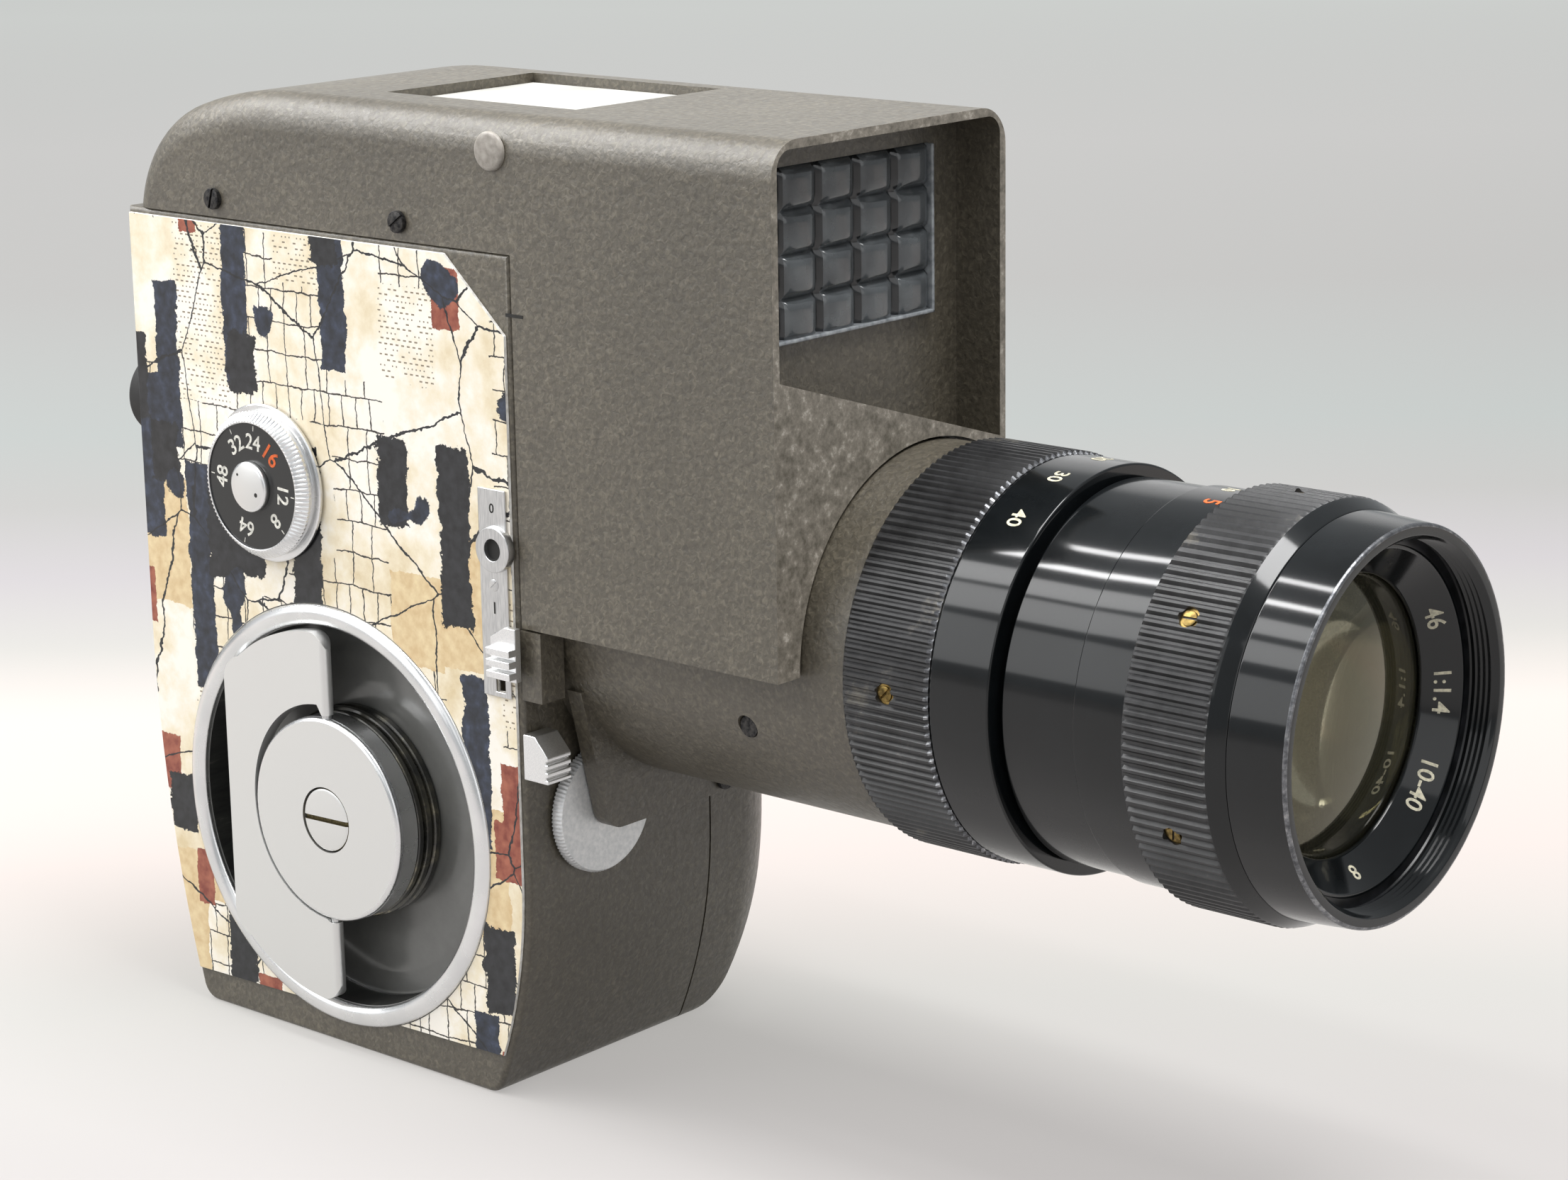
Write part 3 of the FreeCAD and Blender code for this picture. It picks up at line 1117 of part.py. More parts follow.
def film_path():
    """Shutter, gate, claw, pressure plate and the two spools on their spindles."""
    shutter = turned("shutter", "y", [
        ("-body_front + gap", "0"),
        ("-body_front + gap", "shutter_shaft"),
        ("-body_front + wall + 1.3", "shutter_shaft"),
        ("-body_front + wall + 1.3", "shutter_radius"),
        ("-body_front + wall + 1.9", "shutter_radius"),
        ("-body_front + wall + 1.9", "shutter_shaft"),
        ("-body_front + wall + 2.2", "shutter_shaft"),
        ("-body_front + wall + 2.2", "2.9 * shutter_shaft"),
        ("-body_front + wall + 4.1", "2.9 * shutter_shaft"),
        ("-body_front + wall + 4.1", "0"),
    ], east="-shutter_x", up="lens_height")
    open_half = rectangle(shutter.sketch("XZ", "body_front - wall - 1"), "-shutter_radius - 1", "-3 * shutter_shaft",
                          "-shutter_radius - 1", "shutter_radius + 1")
    shutter.cut(open_half, "1.1")
    gate = Piece("film_gate")
    gate.pad(rectangle(gate.sketch("XZ", GATE_BACK), PLATE_FAR, "gate_width - 4.5", "lens_height - gate_height / 2",
                       "lens_height + gate_height / 2"), "1.5")
    gate.pad(rectangle(gate.sketch("XZ", GATE_BACK), PLATE_FAR, "%s + 1.2" % PLATE_FAR, "lens_height - gate_height / 2",
                       "lens_height + gate_height / 2"), "10", reverse=True)
    gate.cut(rectangle(gate.sketch("XZ", "%s + 1.5" % GATE_BACK), "-frame_width / 2", "frame_width / 2",
                       "lens_height - frame_high / 2", "lens_height + frame_high / 2"), "1.5")
    gate.cut(rectangle(gate.sketch("XZ", "%s + 1.5" % GATE_BACK), "-4.1", "-frame_width / 2 - 0.05",
                       "claw_low + 0.1", "claw_low + 1.7 + pull_down"), "1.5")
    claw = Piece("film_claw")
    claw.pad(rectangle(claw.sketch("XZ", "%s + 1.5 + gap" % GATE_BACK), "-plate_near - 1.8", "-2.6", "claw_low",
                       "claw_low + 2"), "0.4")
    claw.pad(rectangle(claw.sketch("XZ", "%s + 1.5 + gap" % GATE_BACK), "-3.7", "-2.9", "claw_low + 0.5", "claw_low + 1.3"),
             "1.4", reverse=True)
    block("pressure_plate", "%s + 1.2 + gap" % PLATE_FAR, "gate_width - 5.5", "-(%s) + gap" % GATE_BACK,
          "-(%s) + gap + 1.2" % GATE_BACK, "lens_height - 12", "lens_height + 12")
    for name, up in (("supply", SPOOL_HIGH), ("takeup", "spool_low")):
        turned(name + "_spool", "x", [
            (SPOOL_START, "spindle_radius"),
            (SPOOL_START, "spool_radius"),
            ("%s + 0.8" % SPOOL_START, "spool_radius"),
            ("%s + 0.8" % SPOOL_START, "spool_hub"),
            ("%s + spool_width - 0.8" % SPOOL_START, "spool_hub"),
            ("%s + spool_width - 0.8" % SPOOL_START, "spool_radius"),
            ("%s + spool_width" % SPOOL_START, "spool_radius"),
            ("%s + spool_width" % SPOOL_START, "spindle_radius"),
        ], north="spool_y", up=up)
        turned(name + "_spindle", "x", [
            ("-plate_near", "0"),
            ("-plate_near", "spindle_radius"),
            ("%s + gap" % PLATE_FAR, "spindle_radius"),
            ("%s + gap" % PLATE_FAR, "2 * spindle_radius"),
            (SPOOL_START, "2 * spindle_radius"),
            (SPOOL_START, "spindle_radius"),
            ("%s + spool_width + 1" % SPOOL_START, "spindle_radius"),
            ("%s + spool_width + 1.6" % SPOOL_START, "0.6 * spindle_radius"),
            ("%s + spool_width + 1.6" % SPOOL_START, "0"),
        ], north="spool_y", up=up)


def meter():
    """The meter housing over the lens and body, with its cell, movement, scale and needle."""
    housing = Piece("meter_housing")
    side = outline(housing.sketch("YZ", "-near_side"), [
        ("-housing_front", "housing_low"),
        ("-body_front - gap", "housing_low"),
        ("-body_front - gap", "body_top"),
    ] + crown("0") + [("-housing_front", "housing_top")])
    housing.pad(side, "near_side + housing_far")
    near, far, foot = -number("near_side"), number("housing_far"), number("body_top")
    housing.round_edges(lambda edge: top_edge(edge, near, far, foot), "housing_edge")
    opening = outline(housing.sketch("XZ", "housing_front"), [
        ("-near_side + hood_wall", "hood_lip_near"),
        ("housing_far - hood_wall", "hood_lip_far"),
        ("housing_far - hood_wall", "housing_top - hood_wall - 2.5", "2.5"),
        ("housing_far - hood_wall - 2.5", "housing_top - hood_wall"),
        ("-near_side + hood_wall + 2.5", "housing_top - hood_wall", "2.5"),
        ("-near_side + hood_wall", "housing_top - hood_wall - 2.5"),
    ])
    housing.cut(opening, "hood_depth")
    cavity = outline(housing.sketch("YZ", "-near_side + housing_wall"), [
        ("-(%s)" % HOOD_INNER, "lens_height + collar_gap + 2 * housing_wall"),
        ("-body_front - gap", "lens_height + collar_gap + 2 * housing_wall"),
        ("-body_front - gap", "body_top"),
    ] + crown("housing_wall") + [("-(%s)" % HOOD_INNER, "housing_top - housing_wall")])
    housing.cut(cavity, "near_side + housing_far - 2 * housing_wall", forward=True)
    corner = outline(housing.sketch("XZ", "body_front + gap"), [
        ("-near_side + housing_wall", "housing_low + housing_wall"),
        ("-sqrt((collar_gap + housing_wall)^2 - (housing_low + housing_wall - lens_height)^2)", "housing_low + housing_wall",
         "-collar_gap - housing_wall"),
        ("-(collar_gap + housing_wall) * sqrt(0.5)", "lens_height + (collar_gap + housing_wall) * sqrt(0.5)",
         "-collar_gap - housing_wall"),
        ("-0.3 * collar_gap", "lens_height + sqrt((collar_gap + housing_wall)^2 - (0.3 * collar_gap)^2)"),
        ("-0.3 * collar_gap", "lens_height + collar_gap + 2.2 * housing_wall"),
        ("-near_side + housing_wall", "lens_height + collar_gap + 2.2 * housing_wall"),
    ])
    housing.cut(corner, "(%s) - body_front - gap" % HOOD_INNER, forward=True)
    collar = circle(housing.sketch("XZ", "housing_front"), "0", "lens_height", "collar_gap")
    housing.cut(collar, "housing_front - body_front")
    glass = rectangle(housing.sketch("XZ", HOOD_BACK), "-cell_left", CELL_RIGHT, "cell_low", CELL_HIGH)
    housing.cut(glass, "housing_wall")
    frame = rectangle(housing.sketch("XY", FLOOR_BACK), "-window_left - 1.6", "window_right + 1.6",
                      "-window_front - 1.6", "window_rear + 1.6")
    housing.pad(frame, "housing_top - 0.2 - (%s)" % FLOOR_BACK)
    recess = rectangle(housing.sketch("XY", "housing_top"), "-window_left", "window_right", "-window_front", "window_rear")
    housing.cut(recess, "window_depth")
    lip = rectangle(housing.sketch("XY", "housing_top"), "-window_left + window_ledge + 0.5", "window_right - window_ledge - 0.5",
                    "-window_front + window_ledge", "window_rear - window_ledge")
    housing.cut(lip, "housing_top - (%s) + 0.5" % FLOOR_BACK)
    seat = rectangle(housing.sketch("XY", FLOOR_BACK), "-window_left + window_ledge - 0.5", "window_right - window_ledge + 0.5",
                     "-window_front + window_ledge - 0.5", "window_rear - window_ledge + 0.5")
    housing.cut(seat, "1.2", forward=True)
    for north, up in HOUSING_SCREWS:
        hole = circle(housing.sketch("YZ", "-near_side"), north, up, SHANK % "screw_radius")
        housing.cut(hole, "housing_wall", forward=True)
    housing.cut(circle(housing.sketch("YZ", "-near_side"), PLUG[0], PLUG[1], "screw_radius"), "housing_wall", forward=True)
    heads = []
    for index, (north, up) in enumerate(HOUSING_SCREWS):
        heads.append(screw("housing_screw_%d" % index, "x", "-near_side", 1, "screw_radius", "3", (north, up)))
    group("housing_screws", heads)
    plug = Piece("housing_plug")
    plug.pad(circle(plug.sketch("YZ", "-near_side - 0.7"), "0", "0", "plug_radius"), "0.7")
    plug.pad(circle(plug.sketch("YZ", "-near_side"), "0", "0", "screw_radius"), "3")
    plug.place(north=PLUG[0], up=PLUG[1])
    cell = Piece("cell_glass")
    cell.pad(rectangle(cell.sketch("XZ", HOOD_INNER), "-cell_left", CELL_RIGHT, "cell_low", CELL_HIGH), "housing_wall + 1.2")
    for index in range(1, int(number("cell_columns"))):
        spot = "-cell_left + %d * cell_pitch_x" % index
        cell.cut(rectangle(cell.sketch("XZ", "%s + housing_wall + 1.2" % HOOD_INNER), "%s - 0.4" % spot, "%s + 0.4" % spot,
                           "cell_low - 1", "%s + 1" % CELL_HIGH), "0.6")
    for index in range(1, int(number("cell_rows"))):
        spot = "cell_low + %d * cell_pitch_z" % index
        cell.cut(rectangle(cell.sketch("XZ", "%s + housing_wall + 1.2" % HOOD_INNER), "-cell_left - 1", "%s + 1" % CELL_RIGHT,
                           "%s - 0.4" % spot, "%s + 0.4" % spot), "0.6")
    block("selenium_cell", "-cell_left + 0.4", "%s - 0.3" % CELL_RIGHT, "-(%s)" % HOOD_INNER, "-(%s) + 1.2" % HOOD_INNER,
          "cell_low + 0.3", "%s - 0.3" % CELL_HIGH)
    block("top_window", "-window_left + window_ledge - 0.5", "window_right - window_ledge + 0.5",
          "-window_front + window_ledge - 0.5", "window_rear - window_ledge + 0.5", FLOOR_BACK, "%s + 1.2" % FLOOR_BACK)
    turned("meter_movement", "z", [
        ("body_top", "0"),
        ("body_top", "9"),
        ("body_top + 11.7", "9"),
        ("body_top + 11.7", "1"),
        ("body_top + 9", "1"),
        ("body_top + 9", "0"),
    ], east="-5", north="8")
    scale = Piece("meter_scale")
    scale.pad(rectangle(scale.sketch("XY", "body_top + 11.7"), "-15.5", "5", "-18.5", "14"), "0.6")
    scale.cut(circle(scale.sketch("XY", "body_top + 12.3"), "-5", "8", "1"), "0.6")
    needle = Piece("meter_needle")
    needle.pad(circle(needle.sketch("XY", "body_top + 9.6"), "0", "0", "0.7"), "4")
    needle.pad(rectangle(needle.sketch("XY", "body_top + 12.8"), "-0.4", "0.4", "-22", "5"), "0.4")
    needle.place(east="-5", north="8")


def finder_and_base():
    """The finder tube with its eyepiece, the tripod bush, the hinge pins and the door latch."""
    turned("finder_tube", "y", [
        ("-body_front", "eyepiece_radius - 2.2"),
        ("-body_front", "finder_radius"),
        ("body_rear", "finder_radius"),
        ("body_rear", "eyepiece_radius - 1.4"),
        ("body_rear + eyepiece_reach - 4", "eyepiece_radius - 1.4"),
        ("body_rear + eyepiece_reach - 4", "eyepiece_radius - 2.2"),
    ], east="-finder_x", up="finder_z")
    turned("eyepiece_ring", "y", [
        ("body_rear + gap", "eyepiece_radius - 1.4 + slip"),
        ("body_rear + gap", "eyepiece_radius"),
        ("body_rear + eyepiece_reach - 0.6", "eyepiece_radius"),
        ("body_rear + eyepiece_reach", "eyepiece_radius - 0.6"),
        ("body_rear + eyepiece_reach", "eyepiece_radius - 2.6"),
        ("body_rear + eyepiece_reach - 4 + gap", "eyepiece_radius - 3.4"),
        ("body_rear + eyepiece_reach - 4 + gap", "eyepiece_radius - 1.4 + slip"),
    ], east="-finder_x", up="finder_z")
    turned("tripod_bush", "z", [
        ("0", "thread_radius"),
        ("0", "bush_radius"),
        ("wall", "bush_radius"),
        ("wall", "bush_radius + 0.8"),
        ("bush_height", "bush_radius + 0.8"),
        ("bush_height", "thread_radius"),
    ])
    pins = []
    for tag, low in (("low", "knuckle_low"), ("high", "knuckle_high - knuckle_length - gap")):
        pins.append(rod("hinge_pin_" + tag, "z", low, "(%s) + 2 * knuckle_length + gap" % low, "hinge_pin_radius",
                        (HINGE_X, HINGE_Y)))
    group("hinge_pins", pins)
    latch = turned("door_latch", "x", [
        ("far_side - door_wall - gap - 1.5", "0"),
        ("far_side - door_wall - gap - 1.5", "2.5 * latch_shaft"),
        ("far_side - door_wall - gap", "2.5 * latch_shaft"),
        ("far_side - door_wall - gap", "latch_shaft"),
        ("far_side + gap", "latch_shaft"),
        ("far_side + gap", "latch_radius"),
        ("far_side + gap + 1.5", "latch_radius"),
        ("far_side + gap + 1.5", "0"),
    ], north="latch_y", up="latch_z")
    latch.pad(rectangle(latch.sketch("YZ", "far_side + gap + 1.5"), "1 - latch_radius", "latch_radius - 1", "-1.2", "1.2"), "2.4")


def export():
    """Checks each object and writes each piece to its own file."""
    doc.recompute()
    broken = [thing.Name for thing in doc.Objects if "Invalid" in thing.State or "Error" in thing.State]
    if broken:
        raise ValueError("these failed: " + ", ".join(broken))
    os.makedirs("parts", exist_ok=True)
    for name, thing in nodes:
        if thing.Shape.isNull() or not thing.Shape.isValid() or thing.Shape.Volume < TINY:
            raise ValueError("%s has no sound shape" % name)
        thing.Shape.exportStep("parts/%s.step" % name)
    print("%d pieces" % len(nodes))


body_shell()
film_door()
winding_side()
spring_motor()
dial_and_controls()
lens()
film_path()
meter()
finder_and_base()
export()
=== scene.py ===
"""A spring-wound zoom movie camera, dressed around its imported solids."""

import json
import math

import bmesh
import bpy
from bpy.props import FloatProperty, FloatVectorProperty, IntProperty, PointerProperty
from bpy.types import Operator, Panel, PropertyGroup
from mathutils import Matrix, Vector

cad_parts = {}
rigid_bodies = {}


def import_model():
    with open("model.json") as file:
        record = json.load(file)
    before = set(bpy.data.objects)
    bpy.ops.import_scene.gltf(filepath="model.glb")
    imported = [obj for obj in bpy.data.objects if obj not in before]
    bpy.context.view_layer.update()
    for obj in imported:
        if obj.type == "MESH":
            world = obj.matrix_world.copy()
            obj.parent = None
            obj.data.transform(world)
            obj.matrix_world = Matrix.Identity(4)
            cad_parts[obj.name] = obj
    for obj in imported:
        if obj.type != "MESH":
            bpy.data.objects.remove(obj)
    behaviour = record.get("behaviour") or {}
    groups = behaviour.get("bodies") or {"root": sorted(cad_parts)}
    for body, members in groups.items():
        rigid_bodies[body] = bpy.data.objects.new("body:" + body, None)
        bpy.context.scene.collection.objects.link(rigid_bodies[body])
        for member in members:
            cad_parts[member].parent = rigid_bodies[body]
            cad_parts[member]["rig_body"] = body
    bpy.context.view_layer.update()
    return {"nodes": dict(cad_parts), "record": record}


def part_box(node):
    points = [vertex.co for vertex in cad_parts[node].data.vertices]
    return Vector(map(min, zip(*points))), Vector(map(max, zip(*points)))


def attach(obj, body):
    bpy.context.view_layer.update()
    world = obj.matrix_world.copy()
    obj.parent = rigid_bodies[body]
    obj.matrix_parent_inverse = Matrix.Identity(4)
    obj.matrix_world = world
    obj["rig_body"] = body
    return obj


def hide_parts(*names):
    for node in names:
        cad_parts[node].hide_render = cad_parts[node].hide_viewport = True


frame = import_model()

bl_info = {
    "name": "Movie camera",
    "version": (1, 0, 0),
    "blender": (4, 5, 0),
    "location": "3D View > Sidebar > Movie camera",
    "description": "Models the visible pieces of a spring-wound zoom movie camera",
    "category": "Add Mesh",
}

MM = 0.001
SIDE = Matrix(((0, 0, -1), (-1, 0, 0), (0, 1, 0))).to_4x4()
FRONT = Matrix(((1, 0, 0), (0, 0, -1), (0, 1, 0))).to_4x4()
TOP = Matrix.Identity(4)


# Colour and material nodes

def linear(code):
    """An sRGB hex colour as the linear values that a shader takes."""
    parts = [int(code[i:i + 2], 16) / 255 for i in (1, 3, 5)]
    return tuple(c / 12.92 if c <= 0.04045 else ((c + 0.055) / 1.055) ** 2.4 for c in parts) + (1.0,)


def put(tree, kind, inputs=None, **settings):
    """Adds a node with its own settings, and its sockets' values or the sockets that feed them."""
    node = tree.nodes.new(kind)
    for name, value in settings.items():
        setattr(node, name, value)
    for key, value in (inputs or {}).items():
        if isinstance(value, bpy.types.Node):
            tree.links.new(value.outputs[0], node.inputs[key])
        elif isinstance(value, bpy.types.NodeSocket):
            tree.links.new(value, node.inputs[key])
        else:
            node.inputs[key].default_value = value
    return node


def start_material(name, **values):
    """An empty material with one principled shader, and its Object coordinates."""
    material = bpy.data.materials.new(name)
    material.use_nodes = True
    tree = material.node_tree
    tree.nodes.clear()
    shader = put(tree, "ShaderNodeBsdfPrincipled", values)
    put(tree, "ShaderNodeOutputMaterial", {"Surface": shader.outputs[0]})
    place = put(tree, "ShaderNodeTexCoord").outputs["Object"]
    return material, tree, shader, place


def ramp(tree, source, stops):
    """A colour ramp over (place, hex colour) stops."""
    node = put(tree, "ShaderNodeValToRGB", {"Fac": source})
    while len(node.color_ramp.elements) < len(stops):
        node.color_ramp.elements.new(1)
    for element, (spot, code) in zip(node.color_ramp.elements, stops):
        element.position = spot
        element.color = linear(code)
    return node.outputs["Color"]


def bump(tree, shader, height, depth):
    """Lifts the surface by a height pattern, in metres."""
    node = put(tree, "ShaderNodeBump", {"Height": height, "Strength": 1.0, "Distance": depth})
    tree.links.new(node.outputs[0], shader.inputs["Normal"])


def grained(name, scale, stops, detail=5, rough=0.5, drawn=None, gloss=None, metal=None, lift=None, **values):
    """A material whose one noise sets its colour and, where asked, its gloss, metal and relief."""
    material, tree, shader, place = start_material(name, **values)
    if drawn:
        place = put(tree, "ShaderNodeMapping", {"Vector": place, "Scale": drawn}).outputs[0]
    noise = put(tree, "ShaderNodeTexNoise", {
        "Vector": place, "Scale": scale, "Detail": detail, "Roughness": rough})
    tree.links.new(ramp(tree, noise.outputs["Fac"], stops), shader.inputs["Base Color"])
    for socket, spread in (("Roughness", gloss), ("Metallic", metal)):
        if spread:
            inputs = dict(zip(("From Min", "From Max", "To Min", "To Max"), spread))
            inputs["Value"] = noise.outputs["Fac"]
            tree.links.new(put(tree, "ShaderNodeMapRange", inputs).outputs[0], shader.inputs[socket])
    if lift:
        bump(tree, shader, noise.outputs["Fac"], lift)
    return material


def wrinkle_paint():
    """Stove-dried wrinkle lacquer on die-cast alloy: a hard taupe skin of worm-like grains."""
    look = bpy.context.scene.camera_casting
    material, tree, shader, place = start_material(
        "wrinkle_paint", Roughness=0.5, **{"Coat Weight": 0.6, "Coat Roughness": 0.42})
    grain = put(tree, "ShaderNodeTexNoise", {
        "Vector": place, "Scale": 1 / look.grain, "Detail": 2.5, "Distortion": 0.8})
    cell = put(tree, "ShaderNodeTexVoronoi", {
        "Vector": place, "Scale": 0.75 / look.grain}, feature="SMOOTH_F1")
    height = put(tree, "ShaderNodeMath", {
        0: grain.outputs["Fac"], 1: cell.outputs["Distance"]}, operation="ADD")
    bump(tree, shader, height.outputs[0], look.grain * 0.16)
    tone = put(tree, "ShaderNodeTexNoise", {"Vector": place, "Scale": 28, "Detail": 4})
    mixed = put(tree, "ShaderNodeMix", {"Factor": 0.3, "A": grain.outputs["Fac"], "B": tone.outputs["Fac"]})
    colour = ramp(tree, mixed.outputs[0], [(0.3, "#3e392f"), (0.52, "#524c40"), (0.72, "#6f6859")])
    tree.links.new(colour, shader.inputs["Base Color"])
    gloss = put(tree, "ShaderNodeMapRange", {
        "Value": cell.outputs["Distance"], "To Min": 0.36, "To Max": 0.62})
    tree.links.new(gloss.outputs[0], shader.inputs["Roughness"])
    return material


def satin_aluminium():
    """Fine-blasted and anodised aluminium: soft white metal with a dull bright edge."""
    material, tree, shader, place = start_material("satin_aluminium", Metallic=1.0)
    cloud = put(tree, "ShaderNodeTexNoise", {"Vector": place, "Scale": 90, "Detail": 5})
    colour = ramp(tree, cloud.outputs["Fac"], [(0.3, "#b1b1b1"), (0.7, "#b8b7b7")])
    tree.links.new(colour, shader.inputs["Base Color"])
    gloss = put(tree, "ShaderNodeMapRange", {"Value": cloud.outputs["Fac"], "To Min": 0.34, "To Max": 0.5})
    tree.links.new(gloss.outputs[0], shader.inputs["Roughness"])
    grit = put(tree, "ShaderNodeTexNoise", {"Vector": place, "Scale": 1 / (0.12 * MM), "Detail": 2})
    bump(tree, shader, grit.outputs["Fac"], 0.0015 * MM)
    return material


def grey_lacquer():
    """Grey lacquer on the spun steel dish: rings of the spinning tool show through."""
    material, tree, shader, place = start_material(
        "grey_lacquer", Roughness=0.5, **{"Coat Weight": 1.0, "Coat Roughness": 0.16})
    look = bpy.context.scene.camera_winding
    centred = put(tree, "ShaderNodeMapping", {"Vector": place, "Location": (0, -look.axis[0], -look.axis[1])})
    rings = put(tree, "ShaderNodeTexWave", {
        "Vector": centred.outputs[0], "Scale": 0.16 / MM, "Distortion": 0.6, "Detail": 2, "Detail Scale": 3},
        wave_type="RINGS", rings_direction="X")
    dust = put(tree, "ShaderNodeTexNoise", {"Vector": place, "Scale": 160, "Detail": 6, "Roughness": 0.7})
    colour = ramp(tree, dust.outputs["Fac"], [(0.3, "#5e5e5b"), (0.75, "#6c6c69")])
    tree.links.new(colour, shader.inputs["Base Color"])
    bump(tree, shader, rings.outputs["Fac"], 0.006 * MM)
    return material


def black_lacquer():
    """Black stoving lacquer over turned brass and alloy: deep, glossy and a little scuffed."""
    material, tree, shader, place = start_material(
        "black_lacquer", **{"Coat Weight": 0.8, "Coat Roughness": 0.09, "Specular IOR Level": 0.05})
    scuff = put(tree, "ShaderNodeTexNoise", {"Vector": place, "Scale": 55, "Detail": 8, "Roughness": 0.7})
    colour = ramp(tree, scuff.outputs["Fac"], [(0.35, "#090b0c"), (0.75, "#131618")])
    tree.links.new(colour, shader.inputs["Base Color"])
    gloss = put(tree, "ShaderNodeMapRange", {
        "Value": scuff.outputs["Fac"], "From Min": 0.3, "From Max": 0.7, "To Min": 0.22, "To Max": 0.38})
    tree.links.new(gloss.outputs[0], shader.inputs["Roughness"])
    fine = put(tree, "ShaderNodeTexNoise", {"Vector": place, "Scale": 1 / (0.2 * MM), "Detail": 2})
    bump(tree, shader, fine.outputs["Fac"], 0.002 * MM)
    return material


